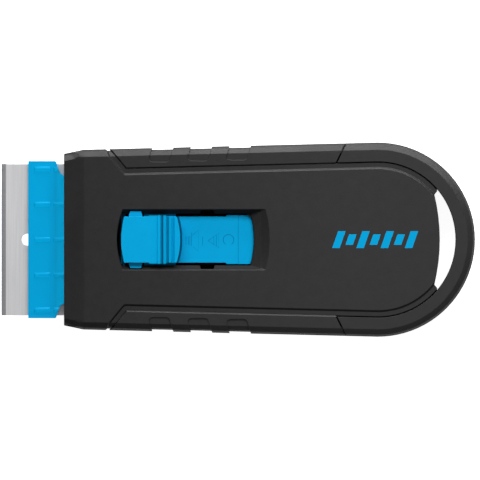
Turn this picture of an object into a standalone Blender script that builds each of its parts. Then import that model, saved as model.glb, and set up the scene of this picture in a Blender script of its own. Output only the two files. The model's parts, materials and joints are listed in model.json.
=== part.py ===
"""A hand scraper with a retracting blade: two housing shells, side grips, a hanging bow,
and a carriage that carries the blade and is worked by a latched thumb slider.

Metres, +Z up. The blade points along -X. The origin is under the middle of the whole
tool, on the flat underside that it rests on.
"""

import math

import bmesh
import bpy
from mathutils import Matrix

MM = 0.001

# Clearances and mesh fineness
GAP = 0.3 * MM
CUT_OVERRUN = 1.0 * MM
WELD_DISTANCE = 0.001 * MM
FLAT_ANGLE = math.radians(0.5)
QUARTER = 90
CREASE_ANGLE = math.radians(35)
ROUND_STEPS = 4
TAIL_STEPS = 44
ARC_STEPS = 8
CORNER_STEPS = 3
ROD_STEPS = 20

# Handle as a whole
BODY_LENGTH = 116.55 * MM
BODY_HEIGHT = 15.0 * MM
TAIL_FLARE = 2.05 * MM
NOSE_SIDE_WALL = 1.75 * MM
NOSE_SIDE_TAPER = 1.15 * MM
NOSE_LENGTH = 5.5 * MM
NOSE_DROP = 1.8 * MM
NOSE_LEAD = 0.15 * MM
FACET_WIDTH = 1.1 * MM
FACET_DROP = 0.42 * MM
ROUND_WIDTH = 1.0 * MM
ROUND_DROP = 1.9 * MM
LEAST_RIM_SHARE = 0.06
BLADE_REACH = 17.8 * MM

# Band of grips and bow round the handle's edge
BAND_WIDTH = 5.4 * MM
GRIP_SKIN = 1.6 * MM
GRIP_SETBACK = 17.8 * MM
GRIP_FRONT_RAKE_SHARE = 0.81
BOW_LEAD = 11.4 * MM
BOW_RAKE_SHARE = 0.5
BOW_SEAM = 0.45 * MM
SEAM_LEAN = 0.7 * MM
RAIL_SETBACK = 0.17 * MM
RAIL_REACH = 0.75 * MM
RAIL_HALF_HEIGHT = 0.8 * MM
PANEL_INSET = 7.05 * MM
CHANNEL_DEPTH = 0.45 * MM
CHANNEL_SLOPE = 0.42 * MM
CHANNEL_RUN = 2.0 * MM
CHANNEL_CORNER_RADIUS = 1.0 * MM

# Finger pockets in each grip
POCKET_COUNT = 3
POCKET_SETBACK = 5.9 * MM
POCKET_PITCH = 11.0 * MM
POCKET_LENGTH = 6.0 * MM
POCKET_REACH = 3.95 * MM
POCKET_RAKE_SHARE = 0.32
POCKET_DEPTH = 0.5 * MM
POCKET_CORNER_RADIUS = 1.2 * MM

# Shell walls
TOP_WALL = 2.0 * MM
SHOULDER_WALL = 1.8 * MM
SIDE_WALL = 1.5 * MM
NOSE_WALL = 3.2 * MM
REAR_EDGE_SETBACK = 10.0 * MM
REAR_EDGE_RADIUS = 54.0 * MM
REAR_CORNER_HALF = 12.75 * MM
REAR_FLARE_SHARE = 1.25

# Blade
BLADE_WIDTH = 43.0 * MM
BLADE_DEPTH = 22.0 * MM
BLADE_THICKNESS = 0.3 * MM
BLADE_GRIND = 1.2 * MM
BLADE_EDGE_THICKNESS = 0.06 * MM
BLADE_HOLE_RADIUS = 1.7 * MM
BLADE_HOLE_SETBACK = 7.4 * MM

# Carriage: bed under the blade, and the stem that runs back into the handle
TRAVEL = 20.3 * MM
BED_THICKNESS = 2.2 * MM
BED_SETBACK = 7.7 * MM
BED_EDGE_THICKNESS = 0.8 * MM
BED_SLOPE_LENGTH = 6.0 * MM
BED_SIDE_INSET = 0.3 * MM
STEM_REAR = 5.0 * MM
STEM_STEP = 0.3 * MM
STEM_BOSS_SPACING = 6.6 * MM
STEM_WINDOW_HALF_WIDTH = 6.5 * MM
STEM_WINDOW_LENGTH = 4.0 * MM
STEM_WINDOW_SETBACK = 3.5 * MM
STEM_WINDOW_MARGIN = 1.5 * MM
SEAT_RIB_WIDTH = 1.2 * MM
SEAT_RIB_HEIGHT = 0.5 * MM

# Blade clamp
CLAMP_SETBACK = 7.6 * MM
CLAMP_LENGTH = 18.8 * MM
CLAMP_THICKNESS = 1.9 * MM
CLAMP_EDGE_DROP = 0.75 * MM
CLAMP_SLOPE_LENGTH = 6.7 * MM
CLAMP_LIP = 0.5 * MM
CLAMP_LIP_DEPTH = 0.7 * MM
CLAMP_EAR_LENGTH = 7.85 * MM
CLAMP_WAIST_INSET = 5.5 * MM
CLAMP_NECK_RUN = 1.2 * MM
CLAMP_NECK_DROP = 3.5 * MM
CLAMP_FLARE_RUN = 3.4 * MM
CLAMP_CORNER_RADIUS = 1.6 * MM
CLAMP_RIB_COUNT = 5
CLAMP_RIB_MARGIN = 1.5 * MM
CLAMP_RIB_WIDTH = 1.8 * MM
CLAMP_RIB_HEIGHT = 0.28 * MM
CLAMP_RIB_START = 1.6 * MM
CLAMP_RIB_BREAK = 0.7 * MM
CLAMP_RIB_SLOPE = 0.45 * MM
CLAMP_SCREW_SETBACK = 2.2 * MM
CLAMP_SCREW_INSET = 4.3 * MM

# Thumb slider
SLOT_HALF_WIDTH = 8.6 * MM
SLOT_FRONT_BULGE = 1.6 * MM
SLOT_RAMP_LENGTH = 4.5 * MM
SLOT_RAMP_BULGE = 1.15 * MM
SLIDER_SETBACK = 16.2 * MM
SLIDER_HALF_WIDTH = 6.95 * MM
SLIDER_WAIST = 0.4 * MM
HEAD_LENGTH = 16.8 * MM
HEAD_GAP = 0.5 * MM
HEAD_FRONT_CLEARANCE = 1.2 * MM
HEAD_FRONT_BULGE = 0.85 * MM
HEAD_REAR_BULGE = 1.0 * MM
HEAD_RISE = 0.45 * MM
RIDGE_RISE = 1.0 * MM
RIDGE_RUN = 1.7 * MM
RIDGE_START = 8.35 * MM
RIDGE_STEP = 0.3 * MM
RIDGE_STEP_RUN = 0.15 * MM
GROOVE_COUNT = 3
GROOVE_START = 11.5 * MM
GROOVE_PITCH = 1.6 * MM
GROOVE_WIDTH = 0.85 * MM
GROOVE_FLOOR_WIDTH = 0.35 * MM
GROOVE_DEPTH = 0.7 * MM
LAND_TILT = 0.28 * MM
HEAD_SIDE_WALL = 0.85 * MM
HEAD_SKIN = 0.9 * MM
HEAD_FLANGE_LENGTH = 9.0 * MM
HEAD_FLANGE_REACH = 1.6 * MM
HEAD_FLANGE_THICKNESS = 0.9 * MM
HEAD_BULGE_START = 7.9 * MM
HEAD_BULGE_LENGTH = 4.9 * MM
PRESS_TRAVEL = 1.6 * MM
DECK_LENGTH = 20.3 * MM
DECK_THICKNESS = 1.4 * MM
DECK_TAIL_LENGTH = 4.4 * MM
DECK_TAIL_DROP = 0.8 * MM
DECK_REAR_BULGE = 0.95 * MM
DECK_WIDE_LENGTH = 8.0 * MM
BASE_THICKNESS = 1.0 * MM
BASE_HALF_WIDTH = 4.8 * MM
BASE_FRONT_OVERHANG = 12.2 * MM
RISER_HALF_WIDTH = 4.5 * MM
RISER_LENGTH = 13.2 * MM
RISER_SETBACK = 0.6 * MM
POST_RADIUS = 1.3 * MM
POST_SETBACK = 8.1 * MM
POST_BOSS_WALL = 1.0 * MM

# Latch spring under the thumb button
TAB_CENTRE = 4.1 * MM
TAB_ROOT_LENGTH = 3.8 * MM
TAB_TIP_LENGTH = 3.05 * MM
TAB_REACH = 1.1 * MM
TAB_THICKNESS = 0.9 * MM
LATCH_ROOT_LENGTH = 3.1 * MM
LATCH_ARM_WIDTH = 1.5 * MM
LATCH_THICKNESS = 0.9 * MM
LATCH_PAD_HEIGHT = 1.1 * MM
LATCH_PEG_RADIUS = 0.9 * MM
LATCH_PEG_PROUD = 0.6 * MM

# Screws
SCREW_RADIUS = 1.1 * MM
SCREW_HEAD_RADIUS = 2.3 * MM
SCREW_HEAD_HEIGHT = 1.5 * MM
SCREW_HEAD_ROUND = 0.35 * MM
SCREW_RECESS_HALF = 1.3 * MM
SCREW_RECESS_WIDTH = 0.55 * MM
SCREW_RECESS_DEPTH = 0.9 * MM
SCREW_SINK = 1.0 * MM
SCREW_TIP_LENGTH = 1.0 * MM
SMALL_SCREW_RADIUS = 0.9 * MM
SMALL_SCREW_HEAD_RADIUS = 1.8 * MM
SMALL_SCREW_HEAD_HEIGHT = 0.9 * MM
SMALL_SCREW_LENGTH = 4.0 * MM
BOSS_RADIUS = 3.2 * MM
FRONT_BOSS_SETBACK = 37.0 * MM
FRONT_BOSS_INSET = 5.0 * MM
REAR_BOSS_LEAD = 0.95 * MM
REAR_BOSS_INSET = 7.25 * MM

# Guide ribs, stops and stiffeners inside the shells
RIB_WIDTH = 1.2 * MM
BED_RIB_INSET = 3.2 * MM
BED_RIB_LENGTH = 26.0 * MM
CHANNEL_WALL_HEIGHT = 4.9 * MM
STIFFENER_COUNT = 3
STIFFENER_HALF_SPAN = 9.5 * MM
STIFFENER_HEIGHT = 3.0 * MM

# Tongues that hold the bow between the shells
TONGUE_LENGTH = 9.6 * MM
TONGUE_THICKNESS = 4.2 * MM
TONGUE_WALL = 1.6 * MM

# Places that follow from the sizes above
CLAMP_HALF_WIDTH = BLADE_WIDTH / 2 + GAP + CLAMP_LIP
CAVITY_HALF_WIDTH = CLAMP_HALF_WIDTH + GAP
NOSE_HALF_WIDTH = CAVITY_HALF_WIDTH + NOSE_SIDE_WALL
SHOULDER_HALF_WIDTH = NOSE_HALF_WIDTH + NOSE_SIDE_TAPER
TAIL_RADIUS = SHOULDER_HALF_WIDTH + TAIL_FLARE
BODY_FRONT = BLADE_REACH - (BODY_LENGTH + BLADE_REACH) / 2
BODY_REAR = BODY_FRONT + BODY_LENGTH
TAIL_X = BODY_REAR - TAIL_RADIUS
SHOULDER_X = BODY_FRONT + NOSE_LENGTH
MID_Z = BODY_HEIGHT / 2
RIM_WIDTH = FACET_WIDTH + ROUND_WIDTH
CEILING = BODY_HEIGHT - TOP_WALL
GRIP_FRONT = BODY_FRONT + GRIP_SETBACK
BOW_FRONT = TAIL_X - BOW_LEAD
BLADE_TIP = BODY_FRONT - BLADE_REACH
BLADE_BOTTOM = MID_Z
BED_TOP = BLADE_BOTTOM - GAP
BLADE_TOP = BLADE_BOTTOM + BLADE_THICKNESS
BED_BOTTOM = BED_TOP - BED_THICKNESS
BED_FRONT = BLADE_TIP + BED_SETBACK
BED_HALF_WIDTH = BLADE_WIDTH / 2 - BED_SIDE_INSET
CLAMP_FRONT = BLADE_TIP + CLAMP_SETBACK
CLAMP_REAR = CLAMP_FRONT + CLAMP_LENGTH
CLAMP_BOTTOM = BLADE_TOP + GAP
CLAMP_TOP = CLAMP_BOTTOM + CLAMP_THICKNESS
CLAMP_WAIST_HALF_WIDTH = CLAMP_HALF_WIDTH - CLAMP_WAIST_INSET
CLAMP_SCREW_HALF_SPAN = CLAMP_WAIST_HALF_WIDTH - CLAMP_SCREW_INSET
CLAMP_RIB_PITCH = (BLADE_WIDTH - 2 * CLAMP_RIB_MARGIN) / (CLAMP_RIB_COUNT - 1)
BLADE_REAR = BLADE_TIP + BLADE_DEPTH
CAVITY_FRONT = BODY_FRONT + NOSE_WALL
HOUSING_TAIL_RADIUS = TAIL_RADIUS - BAND_WIDTH - GAP
FRONT_BOSS_HALF_SPAN = CAVITY_HALF_WIDTH - FRONT_BOSS_INSET
REAR_BOSS_HALF_SPAN = HOUSING_TAIL_RADIUS - REAR_BOSS_INSET
STEM_HALF_WIDTH = FRONT_BOSS_HALF_SPAN - STEM_BOSS_SPACING
STEM_NARROW_HALF_WIDTH = BASE_HALF_WIDTH + GAP + SEAT_RIB_WIDTH
STEM_TOP = BED_TOP + STEM_STEP
STEM_BOTTOM = BED_BOTTOM + STEM_STEP
HEAD_FRONT = BODY_FRONT + SLIDER_SETBACK
HEAD_REAR = HEAD_FRONT + HEAD_LENGTH
DECK_FRONT = HEAD_REAR + HEAD_GAP
DECK_REAR = DECK_FRONT + DECK_LENGTH
DECK_TOP = CEILING - GAP
SLOT_FRONT = HEAD_FRONT - HEAD_FRONT_CLEARANCE
SLOT_REAR = HEAD_REAR + TRAVEL + HEAD_GAP
SLOT_FLOOR_HALF_WIDTH = SLIDER_HALF_WIDTH + GAP
BASE_BOTTOM = STEM_TOP + GAP
BASE_TOP = BASE_BOTTOM + BASE_THICKNESS
BASE_FRONT = DECK_FRONT - BASE_FRONT_OVERHANG
SKIRT_BOTTOM = BASE_TOP + GAP + PRESS_TRAVEL
RISER_FRONT = DECK_FRONT + RISER_SETBACK
RISER_REAR = RISER_FRONT + RISER_LENGTH
POST_X = HEAD_REAR - POST_SETBACK
TAB_X = HEAD_FRONT + TAB_CENTRE
HEAD_UNDERSIDE = BODY_HEIGHT + HEAD_RISE - HEAD_SKIN
TAB_TOP = HEAD_UNDERSIDE - GAP
POST_TOP = HEAD_UNDERSIDE - PRESS_TRAVEL - GAP
LATCH_REAR = HEAD_REAR - HEAD_SIDE_WALL - GAP
LATCH_ROOT_FRONT = LATCH_REAR - LATCH_ROOT_LENGTH
LATCH_BOTTOM = BASE_TOP + LATCH_PAD_HEIGHT + GAP
LATCH_OUTER = SLIDER_HALF_WIDTH - SLIDER_WAIST - HEAD_SIDE_WALL - GAP
FRONT_BOSS_X = BODY_FRONT + FRONT_BOSS_SETBACK
REAR_BOSS_X = TAIL_X - REAR_BOSS_LEAD
STEM_STOP = STEM_REAR + TRAVEL + GAP


def group_of(name):
    """A new collection in the scene."""
    group = bpy.data.collections.new(name)
    bpy.context.scene.collection.children.link(group)
    return group


def place(name, mesh, group):
    """A new object in a group; cutters stay out of renders."""
    thing = bpy.data.objects.new(name, mesh)
    group.objects.link(thing)
    if group.name == "cutters":
        thing.hide_render = True
        thing.display_type = "WIRE"
    return thing


def arc(centre, radius, start, end, steps=ARC_STEPS):
    """Points round a centre from one angle to another, in degrees, both ends included."""
    turns = [math.radians(start + (end - start) * i / steps) for i in range(steps + 1)]
    return [(centre[0] + radius * math.cos(t), centre[1] + radius * math.sin(t)) for t in turns]


def bowed(start, end, bulge, steps=ARC_STEPS):
    """An arc between two points of equal x and opposite y that swells by bulge along x."""
    half = abs(end[1] - start[1]) / 2
    radius = (half * half + bulge * bulge) / (2 * abs(bulge))
    centre_x = start[0] + bulge - math.copysign(radius, bulge)
    spread = math.degrees(math.asin(half / radius)) * (1 if end[1] > start[1] else -1)
    middle = 0 if bulge > 0 else 2 * QUARTER
    turn = 1 if bulge > 0 else -1
    return arc((centre_x, 0), radius, middle - turn * spread, middle + turn * spread, steps)


def mirrored(points):
    """The same points across the middle plane, in reverse order."""
    return [(x, -y) for x, y in reversed(points)]


def filleted(points, radii):
    """The outline with its corners rounded, one radius for each point; zero keeps a corner."""
    found = []
    for i, corner in enumerate(points):
        before = points[i - 1]
        after = points[(i + 1) % len(points)]
        radius = radii[i]
        if radius == 0:
            found.append(corner)
            continue
        back = (before[0] - corner[0], before[1] - corner[1])
        ahead = (after[0] - corner[0], after[1] - corner[1])
        back_length = math.hypot(*back)
        ahead_length = math.hypot(*ahead)
        cosine = (back[0] * ahead[0] + back[1] * ahead[1]) / (back_length * ahead_length)
        half_angle = math.acos(max(-1, min(1, cosine))) / 2
        reach = min(radius / math.tan(half_angle), back_length / 2, ahead_length / 2)
        start = (corner[0] + back[0] / back_length * reach, corner[1] + back[1] / back_length * reach)
        end = (corner[0] + ahead[0] / ahead_length * reach, corner[1] + ahead[1] / ahead_length * reach)
        for step in range(CORNER_STEPS + 1):
            share = step / CORNER_STEPS
            first = (1 - share) ** 2
            middle = 2 * share * (1 - share)
            last = share**2
            found.append(
                (
                    first * start[0] + middle * corner[0] + last * end[0],
                    first * start[1] + middle * corner[1] + last * end[1],
                )
            )
    return found


def tidied(mesh):
    """Welds a mesh, merges its flat faces and turns them outwards."""
    work = bmesh.new()
    work.from_mesh(mesh)
    bmesh.ops.remove_doubles(work, verts=work.verts, dist=WELD_DISTANCE)
    bmesh.ops.dissolve_limit(work, angle_limit=FLAT_ANGLE, verts=work.verts, edges=work.edges)
    bmesh.ops.recalc_face_normals(work, faces=work.faces)
    work.to_mesh(mesh)
    work.free()
    return mesh


def prism(name, outline, low, high, group, along="Z"):
    """A flat outline run between two levels: (x, y) along Z, or (x, z) along Y."""
    curve = bpy.data.curves.new(name, "CURVE")
    curve.dimensions = "2D"
    curve.fill_mode = "BOTH"
    curve.extrude = (high - low) / 2
    spline = curve.splines.new("POLY")
    spline.points.add(len(outline) - 1)
    spline.use_cyclic_u = True
    for point, (across, up) in zip(spline.points, outline):
        point.co = (across, up, 0, 1)
    drawn = bpy.data.objects.new(name, curve)
    bpy.context.scene.collection.objects.link(drawn)
    if along == "Z":
        drawn.matrix_world = Matrix.Translation((0, 0, (low + high) / 2))
    else:
        drawn.matrix_world = Matrix.Translation((0, (low + high) / 2, 0)) @ Matrix.Rotation(math.radians(QUARTER), 4, "X")
    graph = bpy.context.evaluated_depsgraph_get()
    mesh = bpy.data.meshes.new_from_object(drawn.evaluated_get(graph))
    mesh.transform(drawn.matrix_world)
    bpy.data.objects.remove(drawn)
    bpy.data.curves.remove(curve)
    mesh.name = name
    return place(name, tidied(mesh), group)


def block(name, low, high, group):
    """A box between two corners."""
    mesh = bpy.data.meshes.new(name)
    work = bmesh.new()
    size = [high[i] - low[i] for i in range(3)]
    middle = [(high[i] + low[i]) / 2 for i in range(3)]
    bmesh.ops.create_cube(work, size=1, matrix=Matrix.Translation(middle) @ Matrix.Diagonal((*size, 1)))
    work.to_mesh(mesh)
    work.free()
    return place(name, mesh, group)


def rod(name, centre, radius, low, high, group):
    """An upright round bar at (x, y) between two heights."""
    mesh = bpy.data.meshes.new(name)
    work = bmesh.new()
    bmesh.ops.create_cone(
        work,
        cap_ends=True,
        segments=ROD_STEPS,
        radius1=radius,
        radius2=radius,
        depth=high - low,
        matrix=Matrix.Translation((*centre, (low + high) / 2)),
    )
    work.to_mesh(mesh)
    work.free()
    return place(name, mesh, group)


def loft(name, sections, group, along="Z"):
    """A closed solid through parallel sections of equal point counts, each (outline, place)."""
    mesh = bpy.data.meshes.new(name)
    work = bmesh.new()
    loops = []
    for outline, far in sections:
        if along == "Z":
            corners = [(x, y, far) for x, y in outline]
        else:
            corners = [(x, far, z) for x, z in outline]
        loops.append([work.verts.new(corner) for corner in corners])
    count = len(loops[0])
    for lower, upper in zip(loops, loops[1:]):
        for i in range(count):
            j = (i + 1) % count
            work.faces.new((lower[i], lower[j], upper[j], upper[i]))
    work.faces.new(list(reversed(loops[0])))
    work.faces.new(loops[-1])
    bmesh.ops.recalc_face_normals(work, faces=work.faces)
    work.to_mesh(mesh)
    work.free()
    return place(name, mesh, group)


def boolean(target, other, operation):
    """Adds a live Boolean to a piece; the other solid becomes a helper."""
    modifier = target.modifiers.new(other.name, "BOOLEAN")
    modifier.object = other
    modifier.operation = operation
    modifier.solver = "EXACT"
    return target


def cut(target, *others):
    for other in others:
        boolean(target, other, "DIFFERENCE")
    return target


def join(target, *others):
    for other in others:
        boolean(target, other, "UNION")
    return target


def keep_common(target, other):
    return boolean(target, other, "INTERSECT")


def soften(target, width, steps=2, angle=math.radians(50)):
    """Rounds a solid's sharp edges."""
    modifier = target.modifiers.new("round", "BEVEL")
    modifier.width = width
    modifier.segments = steps
    modifier.limit_method = "ANGLE"
    modifier.angle_limit = angle
    return target


def finish(thing, material):
    """Gives a piece its material and smooth shading away from its sharp edges."""
    thing.data.materials.clear()
    thing.data.materials.append(material)
    thing.data.shade_smooth()
    thing.data.set_sharp_from_angle(angle=CREASE_ANGLE)
    return thing


def material(name, colour, roughness, metallic=0.0):
    made = bpy.data.materials.new(name)
    made.use_nodes = True
    shader = made.node_tree.nodes["Principled BSDF"]
    shader.inputs["Base Color"].default_value = (*colour, 1)
    shader.inputs["Roughness"].default_value = roughness
    shader.inputs["Metallic"].default_value = metallic
    return made


def half_width(x):
    """Half the handle's width at x, ahead of its round tail."""
    if x < SHOULDER_X:
        share = (x - BODY_FRONT) / NOSE_LENGTH
        return NOSE_HALF_WIDTH + share * (SHOULDER_HALF_WIDTH - NOSE_HALF_WIDTH)
    share = (x - SHOULDER_X) / (TAIL_X - SHOULDER_X)
    return SHOULDER_HALF_WIDTH + share * (TAIL_RADIUS - SHOULDER_HALF_WIDTH)


def handle_outline(inset):
    """The handle's plan, drawn in by inset, with its front run on past the nose."""
    front = BODY_FRONT - CUT_OVERRUN
    side = [(x, half_width(x) - inset) for x in (front, SHOULDER_X)]
    tail = arc((TAIL_X, 0), TAIL_RADIUS - inset, QUARTER, -QUARTER, TAIL_STEPS)
    return side + tail + mirrored(side)


def rim_steps():
    """The rim in section, from the flat face outwards: (distance inside the edge, drop)."""
    steps = [(RIM_WIDTH, 0)]
    for index in range(ROUND_STEPS + 1):
        turn = math.radians(QUARTER * index / ROUND_STEPS)
        steps.append((ROUND_WIDTH * (1 - math.sin(turn)), FACET_DROP + ROUND_DROP * (1 - math.cos(turn))))
    return steps


def envelope(name, inset, group):
    """The handle's whole outer form, drawn in by inset, with a facet and a round at each rim."""
    share = max(1 - inset / RIM_WIDTH, LEAST_RIM_SHARE)
    rim = [(handle_outline(inset + share * inside), inset + share * drop) for inside, drop in rim_steps()]
    upper = [(outline, BODY_HEIGHT - height) for outline, height in reversed(rim)]
    return loft(name, rim + upper, group)


def chevron(name, plan, group):
    """A full-height solid from a plan given for each lean: its ends point forward at
    mid-height, so that a seam there can't be seen through."""
    sections = [
        (plan(0), -CUT_OVERRUN),
        (plan(SEAM_LEAN), MID_Z),
        (plan(0), BODY_HEIGHT + CUT_OVERRUN),
    ]
    return loft(name, sections, group)


def raked_point(line_x, rake, inset):
    """A point at a distance inside the handle's edge, on a raked line across the band."""
    x = line_x + rake * (BAND_WIDTH - inset)
    return x, half_width(x) - inset


def strip_outline(inset, front, rear, outer=-CUT_OVERRUN):
    """A stretch of the band on the +Y side, between a raked front and a raked rear line."""
    return [
        raked_point(front, -GRIP_FRONT_RAKE_SHARE, outer),
        raked_point(rear, BOW_RAKE_SHARE, outer),
        raked_point(rear, BOW_RAKE_SHARE, inset),
        raked_point(front, -GRIP_FRONT_RAKE_SHARE, inset),
    ]


def round_tail_outline(inset, front, rake, corner=0):
    """The band on both sides and round the tail, as one U, behind a raked front line."""
    outer_end = raked_point(front, rake, -CUT_OVERRUN)
    inner_end = raked_point(front, rake, inset)
    outer = [outer_end, *arc((TAIL_X, 0), TAIL_RADIUS + CUT_OVERRUN, QUARTER, -QUARTER, TAIL_STEPS)]
    inner = [inner_end, *arc((TAIL_X, 0), TAIL_RADIUS - inset, QUARTER, -QUARTER, TAIL_STEPS)]
    outline = outer + [(x, -y) for x, y in (outer_end, inner_end)]
    outline += list(reversed(inner[1:])) + [inner_end]
    radii = [0] * len(outline)
    radii[len(outer) + 1] = corner
    radii[-1] = corner
    return filleted(outline, radii)


def on_side(outline, side):
    """An outline drawn on the +Y side, flipped for the other one."""
    return mirrored(outline) if side < 0 else outline


def grip(name, side, group, cutters):
    """A soft C-shaped side grip with three raked finger pockets."""
    solid = envelope(name, 0, group)

    def plan(lean):
        strip = strip_outline(BAND_WIDTH, GRIP_FRONT - lean, BOW_FRONT - BOW_SEAM - lean)
        return on_side(strip, side)

    keep_common(solid, chevron(name + "_span", plan, cutters))
    cut(solid, envelope(name + "_inside", GRIP_SKIN, cutters))
    floor = envelope(name + "_pocket_floor", POCKET_DEPTH, cutters)
    for index in range(POCKET_COUNT):
        start = GRIP_FRONT + POCKET_SETBACK + index * POCKET_PITCH
        lean = POCKET_RAKE_SHARE * (POCKET_REACH + CUT_OVERRUN)
        inner = half_width(start) - POCKET_REACH
        outer = half_width(start) + CUT_OVERRUN
        corners = [
            (start + lean, outer),
            (start + POCKET_LENGTH + lean, outer),
            (start + POCKET_LENGTH, inner),
            (start, inner),
        ]
        outline = filleted(corners, [0, 0, POCKET_CORNER_RADIUS, POCKET_CORNER_RADIUS])
        pocket = prism(
            f"{name}_pocket_{index}",
            on_side(outline, side),
            -CUT_OVERRUN,
            BODY_HEIGHT + CUT_OVERRUN,
            cutters,
        )
        cut(solid, cut(pocket, floor))
    return solid


def rail(name, grow, group):
    """The bow's thin inner rail at mid-height, grown by a clearance for its groove."""
    front = BOW_FRONT - SEAM_LEAN + RAIL_SETBACK - grow
    reach = BAND_WIDTH + RAIL_REACH + grow
    half = RAIL_HALF_HEIGHT + grow
    low, high = MID_Z - half, MID_Z + half
    outer = raked_point(front, BOW_RAKE_SHARE, BAND_WIDTH / 2)
    inner = raked_point(front, BOW_RAKE_SHARE, reach)
    side = [outer, *arc((TAIL_X, 0), TAIL_RADIUS - BAND_WIDTH / 2, QUARTER, -QUARTER, TAIL_STEPS)]
    far = arc((TAIL_X, 0), TAIL_RADIUS - reach, -QUARTER, QUARTER, TAIL_STEPS)
    outline = side + [(outer[0], -outer[1]), (inner[0], -inner[1])] + far + [inner]
    return prism(name, outline, low, high, group)


def bow(group, cutters):
    """The hanging bow round the tail, with a tongue on each arm that the rear screws hold."""
    solid = envelope("rear_bow", 0, group)

    def plan(lean):
        return round_tail_outline(BAND_WIDTH, BOW_FRONT - lean, BOW_RAKE_SHARE)

    keep_common(solid, chevron("bow_span", plan, cutters))
    behind = prism("bow_rail_end", rear_edge(GAP), -CUT_OVERRUN, BODY_HEIGHT + CUT_OVERRUN, cutters)
    join(solid, cut(rail("bow_rail", 0, cutters), behind))
    for side in (1, -1):
        inner = side * (REAR_BOSS_HALF_SPAN - BOSS_RADIUS - GAP - TONGUE_WALL)
        outer = side * (TAIL_RADIUS - BAND_WIDTH / 2)
        tongue = block(
            f"tongue_{side}",
            (REAR_BOSS_X - TONGUE_LENGTH / 2, min(inner, outer), MID_Z - TONGUE_THICKNESS / 2),
            (REAR_BOSS_X + TONGUE_LENGTH / 2, max(inner, outer), MID_Z + TONGUE_THICKNESS / 2),
            cutters,
        )
        eye = rod(
            f"tongue_eye_{side}",
            (REAR_BOSS_X, side * REAR_BOSS_HALF_SPAN),
            BOSS_RADIUS + GAP,
            MID_Z - TONGUE_THICKNESS,
            MID_Z + TONGUE_THICKNESS,
            cutters,
        )
        cut(join(solid, tongue), eye)
    return solid


def rear_edge(inset):
    """The housing's curved rear edge with its flared corners, moved forward by inset."""
    apex = BODY_REAR - REAR_EDGE_SETBACK - inset
    centre = (apex - REAR_EDGE_RADIUS, 0)
    spread = math.degrees(math.asin(REAR_CORNER_HALF / REAR_EDGE_RADIUS))
    edge = arc(centre, REAR_EDGE_RADIUS, spread, -spread, ARC_STEPS)
    far = BODY_REAR + CUT_OVERRUN
    flare = (far, edge[0][1] + (far - edge[0][0]) * REAR_FLARE_SHARE)
    return [flare, *edge, (flare[0], -flare[1])]


def edge_channel(cutters):
    """The channel beside the band, with its inner wall sloped; its floor is cut out later."""
    grade = CHANNEL_SLOPE / CHANNEL_DEPTH
    sections = []
    for depth in (-CUT_OVERRUN, 2 * CHANNEL_DEPTH):
        shift = grade * (CHANNEL_DEPTH - depth)
        front = GRIP_FRONT - CHANNEL_RUN - shift
        outline = round_tail_outline(
            PANEL_INSET + shift, front, -GRIP_FRONT_RAKE_SHARE, CHANNEL_CORNER_RADIUS
        )
        sections.append((outline, depth))
    upper = [(outline, BODY_HEIGHT - depth) for outline, depth in reversed(sections)]
    return loft("edge_channel", sections + upper, cutters)


def outside_cutters(cutters):
    """What shapes the outside of both shells: nose, band seat, channel and rear edge."""
    z_low = -CUT_OVERRUN
    z_high = BODY_HEIGHT + CUT_OVERRUN
    wide = TAIL_RADIUS + CUT_OVERRUN
    ahead = BODY_FRONT - 2 * CUT_OVERRUN
    found = [block("nose_front", (ahead, -wide, z_low), (BODY_FRONT, wide, z_high), cutters)]
    slope = NOSE_DROP / NOSE_LENGTH
    start = SHOULDER_X + NOSE_LEAD
    for index, (surface, up) in enumerate(((BODY_HEIGHT, 1), (0, -1))):
        wedge = [
            (ahead, surface - up * slope * (start - ahead)),
            (start + CUT_OVERRUN, surface + up * slope * CUT_OVERRUN),
            (ahead, surface + up * slope * CUT_OVERRUN),
        ]
        found.append(prism(f"nose_wedge_{index}", wedge, -wide, wide, cutters, along="Y"))
    seat_inset = BAND_WIDTH + GAP

    def seat_plan(lean):
        return round_tail_outline(seat_inset, GRIP_FRONT - GAP - lean, -GRIP_FRONT_RAKE_SHARE)

    def bow_plan(lean):
        return round_tail_outline(seat_inset + CUT_OVERRUN, BOW_FRONT - GAP - lean, BOW_RAKE_SHARE)

    found.append(cut(edge_channel(cutters), envelope("channel_floor", CHANNEL_DEPTH, cutters)))
    core = envelope("grip_core", GRIP_SKIN + GAP, cutters)
    cut(core, chevron("bow_room", bow_plan, cutters))
    found.append(cut(chevron("band_seat", seat_plan, cutters), core))
    found.append(rail("rail_groove", GAP, cutters))
    found.append(prism("hanging_gap", rear_edge(0), z_low, z_high, cutters))
    for side in (1, -1):
        inner = side * (REAR_BOSS_HALF_SPAN + BOSS_RADIUS)
        outer = side * wide
        half_length = TONGUE_LENGTH / 2 + GAP
        half_thickness = TONGUE_THICKNESS / 2 + GAP
        found.append(
            block(
                f"tongue_window_{side}",
                (REAR_BOSS_X - half_length, min(inner, outer), MID_Z - half_thickness),
                (REAR_BOSS_X + half_length, max(inner, outer), MID_Z + half_thickness),
                cutters,
            )
        )
    return found


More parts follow.
